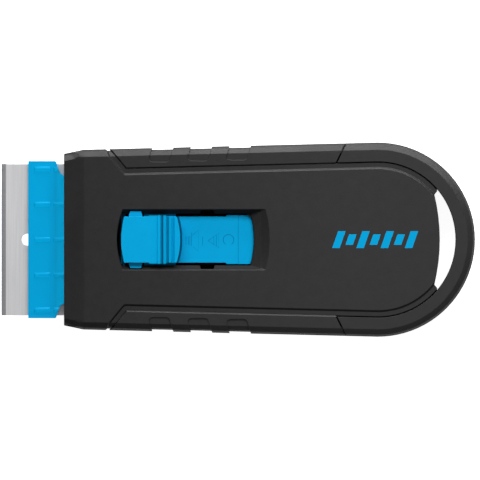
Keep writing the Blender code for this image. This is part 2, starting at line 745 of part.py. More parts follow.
def cavity_cutters(cutters):
    """The hollow inside both shells and the mouth that the carriage comes out of."""
    neck = BOW_FRONT
    inner_radius = HOUSING_TAIL_RADIUS - SIDE_WALL
    narrow = half_width(SHOULDER_X) - PANEL_INSET
    spread = math.degrees(math.asin((inner_radius - SIDE_WALL) / REAR_EDGE_RADIUS))
    apex = BODY_REAR - REAR_EDGE_SETBACK - SIDE_WALL
    rear = arc((apex - REAR_EDGE_RADIUS, 0), REAR_EDGE_RADIUS, spread, -spread, ARC_STEPS)
    rear_half = rear[0][1]
    rear_turn = math.degrees(math.acos(rear_half / inner_radius))
    side = [(SHOULDER_X, narrow), (neck, narrow)]
    side += arc((TAIL_X, 0), inner_radius, QUARTER, QUARTER - rear_turn, ARC_STEPS)[:-1]
    deep = prism("deep_cavity", side + rear + mirrored(side), TOP_WALL, CEILING, cutters)
    shoulder_low = GRIP_SKIN + GAP + SHOULDER_WALL
    wide = block(
        "wide_cavity",
        (CAVITY_FRONT, -CAVITY_HALF_WIDTH - GAP, shoulder_low),
        (BOW_FRONT - GAP - SIDE_WALL, CAVITY_HALF_WIDTH + GAP, BODY_HEIGHT - shoulder_low),
        cutters,
    )
    mouth = block(
        "mouth",
        (BODY_FRONT - CUT_OVERRUN, -CAVITY_HALF_WIDTH, BED_BOTTOM - CLAMP_RIB_HEIGHT - GAP),
        (CAVITY_FRONT + CUT_OVERRUN, CAVITY_HALF_WIDTH, CLAMP_TOP + CLAMP_RIB_HEIGHT + GAP),
        cutters,
    )
    return [deep, wide, mouth]


def tab_outline(centre_x, root, grow, side):
    """The latch tab's plan, from root outwards, grown all round by a clearance."""
    tip = SLIDER_HALF_WIDTH + TAB_REACH + grow
    root_half = TAB_ROOT_LENGTH / 2 + grow
    tip_half = TAB_TIP_LENGTH / 2 + grow
    points = [
        (centre_x - root_half, root),
        (centre_x - root_half, SLIDER_HALF_WIDTH),
        (centre_x - tip_half, tip),
        (centre_x + tip_half, tip),
        (centre_x + root_half, SLIDER_HALF_WIDTH),
        (centre_x + root_half, root),
    ]
    return points if side > 0 else mirrored(points)


def slot_outline(half, front_bulge, rear, rear_bulge):
    """The slider slot's plan at one level, with bowed ends."""
    front = SLOT_FRONT + front_bulge
    back = rear - rear_bulge
    front_end = bowed((front, half), (front, -half), -front_bulge)
    rear_end = bowed((back, -half), (back, half), rear_bulge)
    return front_end + rear_end


def slot_cutters(cutters):
    """The slot in the top wall: sloped sides, a ramp behind, and a latch notch at each stop."""
    rim = slot_outline(SLOT_HALF_WIDTH, SLOT_FRONT_BULGE, SLOT_REAR + SLOT_RAMP_LENGTH, SLOT_RAMP_BULGE)
    floor = slot_outline(SLOT_FLOOR_HALF_WIDTH, SLOT_FRONT_BULGE, SLOT_REAR, HEAD_REAR_BULGE)
    sections = [
        (floor, CEILING - CUT_OVERRUN),
        (floor, CEILING),
        (rim, BODY_HEIGHT),
        (rim, BODY_HEIGHT + CUT_OVERRUN),
    ]
    found = [loft("slider_slot", sections, cutters)]
    for stop, centre_x in (("out", TAB_X), ("in", TAB_X + TRAVEL)):
        for side in (1, -1):
            outline = tab_outline(centre_x, SLIDER_HALF_WIDTH / 2, GAP, side)
            found.append(
                prism(f"notch_{stop}_{side}", outline, CEILING - CUT_OVERRUN, BODY_HEIGHT - GAP, cutters)
            )
    return found


def boss_places():
    """The four screws' places, with a name for each."""
    return [
        ("front_left", FRONT_BOSS_X, -FRONT_BOSS_HALF_SPAN),
        ("front_right", FRONT_BOSS_X, FRONT_BOSS_HALF_SPAN),
        ("rear_left", REAR_BOSS_X, -REAR_BOSS_HALF_SPAN),
        ("rear_right", REAR_BOSS_X, REAR_BOSS_HALF_SPAN),
    ]


def shell(name, low, high, outside, hollow, group, cutters):
    """One half of the housing between two heights, hollowed and shaped outside."""
    solid = envelope(name, 0, group)
    wide = TAIL_RADIUS + CUT_OVERRUN
    ahead = BODY_FRONT - 2 * CUT_OVERRUN
    span = block(name + "_span", (ahead, -wide, low), (BODY_REAR + CUT_OVERRUN, wide, high), cutters)
    keep_common(solid, span)
    return cut(solid, *outside, *hollow)


def upper_housing(outside, hollow, group, cutters):
    """The top shell, with the slider slot, ribs over the clamp and screw bosses."""
    low = MID_Z + GAP / 2
    solid = shell("upper_housing", low, BODY_HEIGHT + CUT_OVERRUN, outside, hollow, group, cutters)
    rib_low = CLAMP_TOP + CLAMP_RIB_HEIGHT + GAP
    root = CEILING + TOP_WALL / 4
    for side in (1, -1):
        near = side * (CLAMP_WAIST_HALF_WIDTH - RIB_WIDTH)
        far = side * CLAMP_WAIST_HALF_WIDTH
        rib = block(
            f"clamp_rib_{side}",
            (CAVITY_FRONT - CUT_OVERRUN / 2, min(near, far), rib_low),
            (CAVITY_FRONT + BED_RIB_LENGTH, max(near, far), root),
            cutters,
        )
        join(solid, rib)
    for place_name, x, y in boss_places():
        join(solid, rod(f"upper_boss_{place_name}", (x, y), BOSS_RADIUS, low, root, cutters))
        hole = rod(
            f"upper_pilot_{place_name}",
            (x, y),
            SCREW_RADIUS + GAP,
            low - CUT_OVERRUN,
            CEILING - GAP,
            cutters,
        )
        cut(solid, hole)
    return cut(solid, *slot_cutters(cutters))


def lower_housing(outside, hollow, group, cutters):
    """The bottom shell, with the stem's channel, a rear stop, stiffeners and screw bosses."""
    high = MID_Z - GAP / 2
    solid = shell("lower_housing", -CUT_OVERRUN, high, outside, hollow, group, cutters)
    root = TOP_WALL * 3 / 4
    bed_level = BED_BOTTOM - CLAMP_RIB_HEIGHT - GAP
    wall_near = STEM_HALF_WIDTH + GAP
    wall_front = CLAMP_REAR + TRAVEL + GAP
    stop_rear = STEM_STOP + RIB_WIDTH
    for side in (1, -1):
        near = side * (BED_HALF_WIDTH - BED_RIB_INSET - RIB_WIDTH)
        far = side * (BED_HALF_WIDTH - BED_RIB_INSET)
        bed_rib = block(
            f"bed_rib_{side}",
            (CAVITY_FRONT - CUT_OVERRUN / 2, min(near, far), root),
            (CAVITY_FRONT + BED_RIB_LENGTH, max(near, far), bed_level),
            cutters,
        )
        near = side * (STEM_NARROW_HALF_WIDTH - 2 * RIB_WIDTH)
        far = side * (STEM_NARROW_HALF_WIDTH - RIB_WIDTH)
        runner = block(
            f"stem_runner_{side}",
            (wall_front + RIB_WIDTH, min(near, far), root),
            (STEM_STOP + RIB_WIDTH / 2, max(near, far), STEM_BOTTOM - GAP),
            cutters,
        )
        join(solid, bed_rib, runner)
    side_wall = [(wall_front, wall_near), (STEM_STOP, wall_near)]
    outer_wall = [(stop_rear, wall_near + RIB_WIDTH), (wall_front, wall_near + RIB_WIDTH)]
    outline = side_wall + mirrored(side_wall) + mirrored(outer_wall) + outer_wall
    join(solid, prism("stem_channel", outline, root, TOP_WALL + CHANNEL_WALL_HEIGHT, cutters))
    rear_wall = BODY_REAR - REAR_EDGE_SETBACK - SIDE_WALL
    pitch = (rear_wall - stop_rear) / (STIFFENER_COUNT + 1)
    for index in range(STIFFENER_COUNT):
        x = stop_rear + (index + 1) * pitch
        rib = block(
            f"stiffener_{index}",
            (x - RIB_WIDTH / 2, -STIFFENER_HALF_SPAN, root),
            (x + RIB_WIDTH / 2, STIFFENER_HALF_SPAN, TOP_WALL + STIFFENER_HEIGHT),
            cutters,
        )
        join(solid, rib)
    spine = block(
        "spine",
        (stop_rear - RIB_WIDTH / 2, -RIB_WIDTH / 2, root),
        (rear_wall + SIDE_WALL / 2, RIB_WIDTH / 2, TOP_WALL + STIFFENER_HEIGHT),
        cutters,
    )
    join(solid, spine)
    head_seat = SCREW_SINK + SCREW_HEAD_HEIGHT + GAP
    for place_name, x, y in boss_places():
        join(solid, rod(f"lower_boss_{place_name}", (x, y), BOSS_RADIUS, root, high, cutters))
        sink = rod(
            f"head_sink_{place_name}", (x, y), SCREW_HEAD_RADIUS + GAP, -CUT_OVERRUN, head_seat, cutters
        )
        hole = rod(
            f"lower_hole_{place_name}", (x, y), SCREW_RADIUS + GAP, -CUT_OVERRUN, MID_Z + CUT_OVERRUN, cutters
        )
        cut(solid, sink, hole)
    return solid


def blade(group, cutters):
    """A thin reversible blade, ground along both long edges, with two locating holes."""
    middle = (BLADE_BOTTOM + BLADE_TOP) / 2
    half = BLADE_THICKNESS / 2
    edge = BLADE_EDGE_THICKNESS / 2
    profile = [
        (BLADE_TIP, middle - edge),
        (BLADE_TIP + BLADE_GRIND, middle - half),
        (BLADE_REAR - BLADE_GRIND, middle - half),
        (BLADE_REAR, middle - edge),
        (BLADE_REAR, middle + edge),
        (BLADE_REAR - BLADE_GRIND, middle + half),
        (BLADE_TIP + BLADE_GRIND, middle + half),
        (BLADE_TIP, middle + edge),
    ]
    solid = prism("blade", profile, -BLADE_WIDTH / 2, BLADE_WIDTH / 2, group, along="Y")
    for index, x in enumerate((BLADE_TIP + BLADE_HOLE_SETBACK, BLADE_REAR - BLADE_HOLE_SETBACK)):
        low = BLADE_BOTTOM - CUT_OVERRUN
        high = BLADE_TOP + CUT_OVERRUN
        cut(solid, rod(f"blade_hole_{index}", (x, 0), BLADE_HOLE_RADIUS, low, high, cutters))
    return solid


def clamp_outline():
    """The clamp's plan: full-width ears ahead, necked in where it enters the housing."""
    ear_end = CLAMP_FRONT + CLAMP_EAR_LENGTH
    neck = (ear_end + CLAMP_NECK_RUN, CLAMP_HALF_WIDTH - CLAMP_NECK_DROP)
    side = [
        (CLAMP_FRONT, CLAMP_HALF_WIDTH),
        (ear_end, CLAMP_HALF_WIDTH),
        neck,
        (neck[0] + CLAMP_FLARE_RUN, CLAMP_WAIST_HALF_WIDTH),
        (CLAMP_REAR, CLAMP_WAIST_HALF_WIDTH),
    ]
    outline = side + mirrored(side)
    radii = [0, CLAMP_LIP, CLAMP_CORNER_RADIUS, CLAMP_CORNER_RADIUS, CLAMP_LIP]
    return filleted(outline, radii + list(reversed(radii)))


def screw_places():
    """The two clamp screws' places behind the blade."""
    x = CLAMP_REAR - CLAMP_SCREW_SETBACK
    return [("left", x, -CLAMP_SCREW_HALF_SPAN), ("right", x, CLAMP_SCREW_HALF_SPAN)]


def rib_profile(start, end, surface, rise):
    """A low rib in side view: it rises out of a surface, given as a function of x."""
    root = 2 * CLAMP_RIB_HEIGHT
    lead = CLAMP_RIB_HEIGHT
    return [
        (start, surface(start) - root),
        (start + lead, surface(start + lead) + rise),
        (end - lead, surface(end - lead) + rise),
        (end, surface(end) - root),
    ]


def clamp_surface(x):
    """The clamp's top at x: a gentle slope, then level."""
    share = min(1, (x - CLAMP_FRONT) / CLAMP_SLOPE_LENGTH)
    return CLAMP_TOP - CLAMP_EDGE_DROP * (1 - share)


def blade_clamp(group, cutters):
    """The ribbed cap that holds the blade down, with side lips and two screw holes."""
    knee = CLAMP_FRONT + CLAMP_SLOPE_LENGTH
    lip_bottom = CLAMP_BOTTOM - CLAMP_LIP_DEPTH
    profile = [
        (CLAMP_FRONT, lip_bottom),
        (CLAMP_REAR, lip_bottom),
        (CLAMP_REAR, CLAMP_TOP),
        (knee, CLAMP_TOP),
        (CLAMP_FRONT, CLAMP_TOP - CLAMP_EDGE_DROP),
    ]
    wide = CLAMP_HALF_WIDTH + CUT_OVERRUN
    solid = prism("blade_clamp", profile, -wide, wide, group, along="Y")
    spans = [
        (CLAMP_FRONT + CLAMP_RIB_START, knee - CLAMP_RIB_BREAK / 2),
        (knee + CLAMP_RIB_BREAK / 2, CLAMP_REAR - 2 * CLAMP_SCREW_SETBACK),
    ]
    for index in range(CLAMP_RIB_COUNT):
        y = (index - (CLAMP_RIB_COUNT - 1) / 2) * CLAMP_RIB_PITCH
        for part, (start, end) in enumerate(spans):
            foot = rib_profile(start, end, clamp_surface, -CLAMP_RIB_HEIGHT / 2)
            top = rib_profile(start, end, clamp_surface, CLAMP_RIB_HEIGHT)
            half = CLAMP_RIB_WIDTH / 2
            steps = [
                (foot, y - half),
                (top, y - half + CLAMP_RIB_SLOPE),
                (top, y + half - CLAMP_RIB_SLOPE),
                (foot, y + half),
            ]
            join(solid, loft(f"clamp_rib_{index}_{part}", steps, cutters, along="Y"))
    plan = prism("clamp_plan", clamp_outline(), lip_bottom - CUT_OVERRUN, CLAMP_TOP + CUT_OVERRUN, cutters)
    keep_common(solid, plan)
    recess = block(
        "blade_recess",
        (CLAMP_FRONT - CUT_OVERRUN, CLAMP_LIP - CLAMP_HALF_WIDTH, lip_bottom - CUT_OVERRUN),
        (CLAMP_REAR + CUT_OVERRUN, CLAMP_HALF_WIDTH - CLAMP_LIP, CLAMP_BOTTOM),
        cutters,
    )
    cut(solid, recess)
    for side, x, y in screw_places():
        head = rod(
            f"clamp_sink_{side}",
            (x, y),
            SMALL_SCREW_HEAD_RADIUS + GAP,
            CLAMP_TOP - SMALL_SCREW_HEAD_HEIGHT - GAP,
            CLAMP_TOP + CUT_OVERRUN,
            cutters,
        )
        hole = rod(
            f"clamp_hole_{side}",
            (x, y),
            SMALL_SCREW_RADIUS + GAP,
            CLAMP_BOTTOM - CUT_OVERRUN,
            CLAMP_TOP + CUT_OVERRUN,
            cutters,
        )
        cut(solid, head, hole)
    return solid


def bed_surface(x):
    """The bed's underside at x, sloped up to a thin front edge."""
    share = min(1, (x - BED_FRONT) / BED_SLOPE_LENGTH)
    return BED_BOTTOM + (BED_THICKNESS - BED_EDGE_THICKNESS) * (1 - share)


def carriage(group, cutters):
    """The sliding carriage: blade bed with peg and stop, ribs below, and the stem behind."""
    knee = BED_FRONT + BED_SLOPE_LENGTH
    profile = [
        (BED_FRONT, BED_TOP),
        (BED_FRONT, BED_TOP - BED_EDGE_THICKNESS),
        (knee, BED_BOTTOM),
        (CLAMP_REAR, BED_BOTTOM),
        (CLAMP_REAR, BLADE_TOP),
        (BLADE_REAR + GAP, BLADE_TOP),
        (BLADE_REAR + GAP, BED_TOP),
    ]
    solid = prism("carriage", profile, -BED_HALF_WIDTH, BED_HALF_WIDTH, group, along="Y")
    peg_x = BLADE_REAR - BLADE_HOLE_SETBACK
    peg = rod("blade_peg", (peg_x, 0), BLADE_HOLE_RADIUS - GAP, BED_TOP - GAP, BLADE_TOP, cutters)
    window_front = CLAMP_REAR + STEM_WINDOW_SETBACK
    window_rear = window_front + STEM_WINDOW_LENGTH
    shoulder = [(CLAMP_REAR - CLAMP_SCREW_SETBACK, STEM_HALF_WIDTH), (window_rear, STEM_HALF_WIDTH)]
    shoulder += [(window_rear + STEM_WINDOW_MARGIN, STEM_NARROW_HALF_WIDTH), (STEM_REAR, STEM_NARROW_HALF_WIDTH)]
    stem = prism("stem", shoulder + mirrored(shoulder), STEM_BOTTOM, STEM_TOP, cutters)
    join(solid, stem, peg)
    for index in range(CLAMP_RIB_COUNT):
        y = (index - (CLAMP_RIB_COUNT - 1) / 2) * CLAMP_RIB_PITCH
        start = BED_FRONT + CLAMP_RIB_START
        points = [
            (start, bed_surface(start) + CLAMP_RIB_HEIGHT),
            (knee, BED_BOTTOM - CLAMP_RIB_HEIGHT),
            (CLAMP_REAR - 2 * CLAMP_SCREW_SETBACK, BED_BOTTOM - CLAMP_RIB_HEIGHT),
            (CLAMP_REAR - 2 * CLAMP_SCREW_SETBACK, BED_BOTTOM + CLAMP_RIB_HEIGHT),
            (knee, BED_BOTTOM + CLAMP_RIB_HEIGHT),
        ]
        join(
            solid,
            prism(
                f"bed_rib_low_{index}",
                points,
                y - CLAMP_RIB_WIDTH / 2,
                y + CLAMP_RIB_WIDTH / 2,
                cutters,
                along="Y",
            ),
        )
    for side in (1, -1):
        near = side * (BASE_HALF_WIDTH + GAP)
        far = side * (BASE_HALF_WIDTH + GAP + SEAT_RIB_WIDTH)
        rib = block(
            f"seat_rib_{side}",
            (BASE_FRONT, min(near, far), STEM_TOP - GAP),
            (RISER_REAR, max(near, far), STEM_TOP + SEAT_RIB_HEIGHT),
            cutters,
        )
        join(solid, rib)
    window = block(
        "stem_window",
        (window_front, -STEM_WINDOW_HALF_WIDTH, BED_BOTTOM - CUT_OVERRUN),
        (window_rear, STEM_WINDOW_HALF_WIDTH, STEM_TOP + CUT_OVERRUN),
        cutters,
    )
    cut(solid, window)
    for side, x, y in screw_places():
        hole = rod(
            f"bed_hole_{side}",
            (x, y),
            SMALL_SCREW_RADIUS + GAP,
            BED_BOTTOM - CUT_OVERRUN,
            BLADE_TOP + CUT_OVERRUN,
            cutters,
        )
        cut(solid, hole)
    x = (RISER_FRONT + RISER_REAR) / 2
    sink_top = STEM_BOTTOM + SMALL_SCREW_HEAD_HEIGHT + GAP
    sink = rod(
        "slider_screw_sink",
        (x, 0),
        SMALL_SCREW_HEAD_RADIUS + GAP,
        BED_BOTTOM - CUT_OVERRUN,
        sink_top,
        cutters,
    )
    hole = rod(
        "slider_screw_hole",
        (x, 0),
        SMALL_SCREW_RADIUS + GAP,
        BED_BOTTOM - CUT_OVERRUN,
        STEM_TOP + CUT_OVERRUN,
        cutters,
    )
    return cut(solid, sink, hole)


def head_outline(grow, half):
    """The thumb button's plan, with bowed ends, grown by a clearance."""
    front = HEAD_FRONT + HEAD_FRONT_BULGE - grow
    rear = HEAD_REAR - HEAD_REAR_BULGE + grow
    front_end = bowed((front, half), (front, -half), -HEAD_FRONT_BULGE)
    rear_end = bowed((rear, -half), (rear, half), HEAD_REAR_BULGE)
    return front_end + rear_end


def head_profile():
    """The thumb button in side view: a flat pad, a rise, and grooved ridges behind."""
    pad = BODY_HEIGHT + HEAD_RISE
    crest = BODY_HEIGHT + RIDGE_RISE
    points = [(HEAD_FRONT - CUT_OVERRUN, SKIRT_BOTTOM), (HEAD_FRONT - CUT_OVERRUN, pad)]
    step = HEAD_FRONT + RIDGE_START + RIDGE_RUN
    points += [(HEAD_FRONT + RIDGE_START, pad), (step, crest - RIDGE_STEP)]
    points += [(step + RIDGE_STEP_RUN, crest - RIDGE_STEP), (step + 2 * RIDGE_STEP_RUN, crest)]
    for index in range(GROOVE_COUNT):
        x = HEAD_FRONT + GROOVE_START + index * GROOVE_PITCH
        land = crest if index == GROOVE_COUNT - 1 else crest - LAND_TILT
        points += [
            (x - GROOVE_WIDTH / 2, crest),
            (x - GROOVE_FLOOR_WIDTH / 2, crest - GROOVE_DEPTH),
            (x + GROOVE_FLOOR_WIDTH / 2, crest - GROOVE_DEPTH),
            (x + GROOVE_WIDTH / 2, land),
        ]
    rear = HEAD_REAR + CUT_OVERRUN
    return points + [(rear, crest), (rear, SKIRT_BOTTOM)]


def thumb_button(group, cutters):
    """The blue thumb pad: hollow below, with side windows for the latch and a flange
    that the top wall keeps from rising."""
    main_half = SLIDER_HALF_WIDTH - SLIDER_WAIST
    solid = prism("thumb_button", head_outline(0, main_half), 0, BODY_HEIGHT * 2, group)
    bulge_front = HEAD_FRONT + HEAD_BULGE_START
    bulge = block(
        "button_side_pads",
        (bulge_front, -SLIDER_HALF_WIDTH, 0),
        (bulge_front + HEAD_BULGE_LENGTH, SLIDER_HALF_WIDTH, BODY_HEIGHT * 2),
        cutters,
    )
    join(solid, bulge)
    keep_common(
        solid, prism("button_side_view", head_profile(), -SLOT_HALF_WIDTH, SLOT_HALF_WIDTH, cutters, along="Y")
    )
    flange_top = CEILING - GAP
    flange_rear = HEAD_REAR - HEAD_REAR_BULGE - GAP
    flange_half = SLIDER_HALF_WIDTH + HEAD_FLANGE_REACH
    flange = block(
        "button_flange",
        (flange_rear - HEAD_FLANGE_LENGTH, -flange_half, flange_top - HEAD_FLANGE_THICKNESS),
        (flange_rear, flange_half, flange_top),
        cutters,
    )
    inner_half = main_half - HEAD_SIDE_WALL
    inside = block(
        "button_inside",
        (HEAD_FRONT + HEAD_FRONT_BULGE + HEAD_SIDE_WALL, -inner_half, SKIRT_BOTTOM - CUT_OVERRUN),
        (HEAD_REAR - HEAD_SIDE_WALL, inner_half, HEAD_UNDERSIDE),
        cutters,
    )
    boss_radius = POST_RADIUS + GAP + POST_BOSS_WALL
    boss = rod("button_boss", (POST_X, 0), boss_radius, SKIRT_BOTTOM, HEAD_UNDERSIDE + HEAD_SKIN / 2, cutters)
    bore = rod(
        "button_bore", (POST_X, 0), POST_RADIUS + GAP, SKIRT_BOTTOM - CUT_OVERRUN, HEAD_UNDERSIDE, cutters
    )
    window_half = TAB_ROOT_LENGTH / 2 + GAP
    window = block(
        "button_windows",
        (TAB_X - window_half, -SLOT_HALF_WIDTH, SKIRT_BOTTOM - CUT_OVERRUN),
        (TAB_X + window_half, SLOT_HALF_WIDTH, HEAD_UNDERSIDE),
        cutters,
    )
    cut(join(solid, flange), inside)
    return cut(join(solid, boss), bore, window)


def latch_spring(group, cutters):
    """The flexing latch: a root plate, two rising arms, and a crossbar with a tab each side."""
    tab_low = TAB_TOP - TAB_THICKNESS
    bar_rear = TAB_X + TAB_ROOT_LENGTH / 2
    bar_front = TAB_X - TAB_ROOT_LENGTH / 2
    profile = [
        (LATCH_REAR, LATCH_BOTTOM),
        (LATCH_REAR, LATCH_BOTTOM + LATCH_THICKNESS),
        (LATCH_ROOT_FRONT, LATCH_BOTTOM + LATCH_THICKNESS),
        (bar_rear, TAB_TOP),
        (bar_front, TAB_TOP),
        (bar_front, tab_low),
        (bar_rear, tab_low),
        (LATCH_ROOT_FRONT, LATCH_BOTTOM),
    ]
    solid = prism("latch_spring", profile, -LATCH_OUTER, LATCH_OUTER, group, along="Y")
    inner = LATCH_OUTER - LATCH_ARM_WIDTH
    opening = block(
        "latch_opening",
        (bar_rear - LATCH_THICKNESS / 2, -inner, BASE_TOP),
        (LATCH_ROOT_FRONT - LATCH_THICKNESS / 2, inner, BODY_HEIGHT),
        cutters,
    )
    cut(solid, opening)
    for side in (1, -1):
        outline = tab_outline(TAB_X, LATCH_OUTER - LATCH_ARM_WIDTH, 0, side)
        join(solid, prism(f"latch_tab_{side}", outline, tab_low, TAB_TOP, cutters))
    peg_x = (LATCH_REAR + LATCH_ROOT_FRONT) / 2
    hole = rod("latch_hole", (peg_x, 0), LATCH_PEG_RADIUS + GAP, BASE_TOP, BODY_HEIGHT, cutters)
    return cut(solid, hole)


def deck_profile():
    """The slider deck in side view, level and then curving down to its tail."""
    low = DECK_TOP - DECK_THICKNESS
    crease = DECK_REAR - DECK_TAIL_LENGTH
    rear = DECK_REAR + CUT_OVERRUN
    return [
        (DECK_FRONT - 2 * HEAD_REAR_BULGE, low),
        (rear, low),
        (rear, DECK_TOP - DECK_TAIL_DROP),
        ((crease + DECK_REAR) / 2, DECK_TOP - DECK_TAIL_DROP / 3),
        (crease, DECK_TOP),
        (DECK_FRONT - 2 * HEAD_REAR_BULGE, DECK_TOP),
    ]


def deck_outline():
    """The slider deck's plan: hollowed in front to clear the button, bowed behind."""
    waist = SLIDER_HALF_WIDTH - SLIDER_WAIST
    front = DECK_FRONT - HEAD_REAR_BULGE
    rear = DECK_REAR - DECK_REAR_BULGE
    wide_start = DECK_REAR - DECK_WIDE_LENGTH
    front_end = bowed((front, -waist), (front, waist), HEAD_REAR_BULGE)
    rear_end = bowed((rear, -SLIDER_HALF_WIDTH), (rear, SLIDER_HALF_WIDTH), DECK_REAR_BULGE)
    top_side = [(wide_start, waist), (wide_start + SLIDER_WAIST, SLIDER_HALF_WIDTH)]
    return front_end + top_side + list(reversed(rear_end)) + mirrored(top_side)


def slider_body(group, cutters):
    """The fixed part of the thumb slider: rear deck, riser, base, latch pad and button post."""
    solid = prism("slider_body", deck_outline(), 0, BODY_HEIGHT, group)
    keep_common(
        solid, prism("deck_side_view", deck_profile(), -SLOT_HALF_WIDTH, SLOT_HALF_WIDTH, cutters, along="Y")
    )
    riser = block(
        "riser",
        (RISER_FRONT, -RISER_HALF_WIDTH, BASE_BOTTOM),
        (RISER_REAR, RISER_HALF_WIDTH, DECK_TOP - DECK_THICKNESS / 2),
        cutters,
    )
    base = block(
        "slider_base",
        (BASE_FRONT, -BASE_HALF_WIDTH, BASE_BOTTOM),
        (RISER_REAR, BASE_HALF_WIDTH, BASE_TOP),
        cutters,
    )
    pad = block(
        "latch_pad",
        (LATCH_ROOT_FRONT, -LATCH_OUTER, BASE_BOTTOM + BASE_THICKNESS / 2),
        (LATCH_REAR, LATCH_OUTER, BASE_TOP + LATCH_PAD_HEIGHT),
        cutters,
    )
    peg_x = (LATCH_REAR + LATCH_ROOT_FRONT) / 2
    mid_base = BASE_BOTTOM + BASE_THICKNESS / 2
    peg_top = LATCH_BOTTOM + LATCH_THICKNESS + LATCH_PEG_PROUD
    peg = rod("latch_peg", (peg_x, 0), LATCH_PEG_RADIUS, mid_base, peg_top, cutters)
    post = rod("button_post", (POST_X, 0), POST_RADIUS, mid_base, POST_TOP, cutters)
    join(solid, riser, base, pad, peg, post)
    hole = rod(
        "riser_pilot",
        ((RISER_FRONT + RISER_REAR) / 2, 0),
        SMALL_SCREW_RADIUS + GAP,
        BASE_BOTTOM - CUT_OVERRUN,
        STEM_BOTTOM + GAP + SMALL_SCREW_HEAD_HEIGHT + SMALL_SCREW_LENGTH,
        cutters,
    )
    return cut(solid, hole)


def screw(name, centre, head_end, up, radius, head_radius, head_height, length, group, cutters):
    """A pan-head screw turned from its profile, with a cross recess. Its head's outer face
    lies at head_end, and up is the way that its point faces."""
    mesh = bpy.data.meshes.new(name)
    seat = head_height
    point = seat + length
    round_off = min(SCREW_HEAD_ROUND, head_height / 2)
    tip = min(SCREW_TIP_LENGTH, length / 2)
    profile = [
        (0, 0),
        (head_radius - round_off, 0),
        (head_radius, round_off),
        (head_radius, seat),
        (radius, seat),
        (radius, point - tip),
        (0, point),
    ]
    work = bmesh.new()
    made = [work.verts.new((across_x, 0, -down)) for across_x, down in profile]
    for first, second in zip(made, made[1:]):
        work.edges.new((first, second))
    work.to_mesh(mesh)
    work.free()
    solid = place(name, mesh, group)
    turned = solid.modifiers.new("turn", "SCREW")
    turned.steps = ROD_STEPS
    turned.render_steps = ROD_STEPS
    turned.use_merge_vertices = True
    turned.merge_threshold = WELD_DISTANCE
    for index, size in enumerate(
        ((SCREW_RECESS_HALF, SCREW_RECESS_WIDTH / 2), (SCREW_RECESS_WIDTH / 2, SCREW_RECESS_HALF))
    ):
        share = head_radius / SCREW_HEAD_RADIUS
        depth = SCREW_RECESS_DEPTH * head_height / SCREW_HEAD_HEIGHT
        recess = block(
            f"{name}_recess_{index}",
            (-size[0] * share, -size[1] * share, -depth),
            (size[0] * share, size[1] * share, CUT_OVERRUN),
            cutters,
        )
        recess.parent = solid
        cut(solid, recess)
    turn = Matrix.Rotation(math.pi, 4, "X") if up > 0 else Matrix.Identity(4)
    solid.matrix_world = Matrix.Translation((*centre, head_end)) @ turn
    return solid


def housing_screws(group, cutters):
    """Four screws from below that clamp the shells together and hold the bow's tongues."""
    found = []
    reach = CEILING - GAP - CUT_OVERRUN - SCREW_SINK - SCREW_HEAD_HEIGHT
    sizes = (SCREW_RADIUS, SCREW_HEAD_RADIUS, SCREW_HEAD_HEIGHT, reach)
    for place_name, x, y in boss_places():
        found.append(screw(f"housing_screw_{place_name}", (x, y), SCREW_SINK, 1, *sizes, group, cutters))
    return found


def carriage_screws(group, cutters):
    """Two clamp screws from above and the slider's screw from below."""
    found = []
    small = (SMALL_SCREW_RADIUS, SMALL_SCREW_HEAD_RADIUS, SMALL_SCREW_HEAD_HEIGHT)
    depth = CLAMP_TOP - SMALL_SCREW_HEAD_HEIGHT - BED_BOTTOM - GAP
    for side, x, y in screw_places():
        found.append(screw(f"clamp_screw_{side}", (x, y), CLAMP_TOP, -1, *small, depth, group, cutters))
    x = (RISER_FRONT + RISER_REAR) / 2
    sizes = (*small, SMALL_SCREW_LENGTH - GAP)
    found.append(screw("slider_screw", (x, 0), STEM_BOTTOM, 1, *sizes, group, cutters))
    return found


def slide_axis(name, origin, parent, riders):
    """An empty on a joint's axis that carries the pieces which ride on that joint."""
    axis = bpy.data.objects.new(name, None)
    axis.empty_display_type = "SINGLE_ARROW"
    axis.empty_display_size = TRAVEL
    bpy.data.collections["hand_scraper"].objects.link(axis)
    axis.location = origin
    if parent is not None:
        axis.parent = parent
        axis.location = [origin[i] - parent.location[i] for i in range(3)]
    for rider in riders:
        rider.parent = axis
        rider.matrix_parent_inverse = Matrix.Translation([-value for value in origin])
    return axis


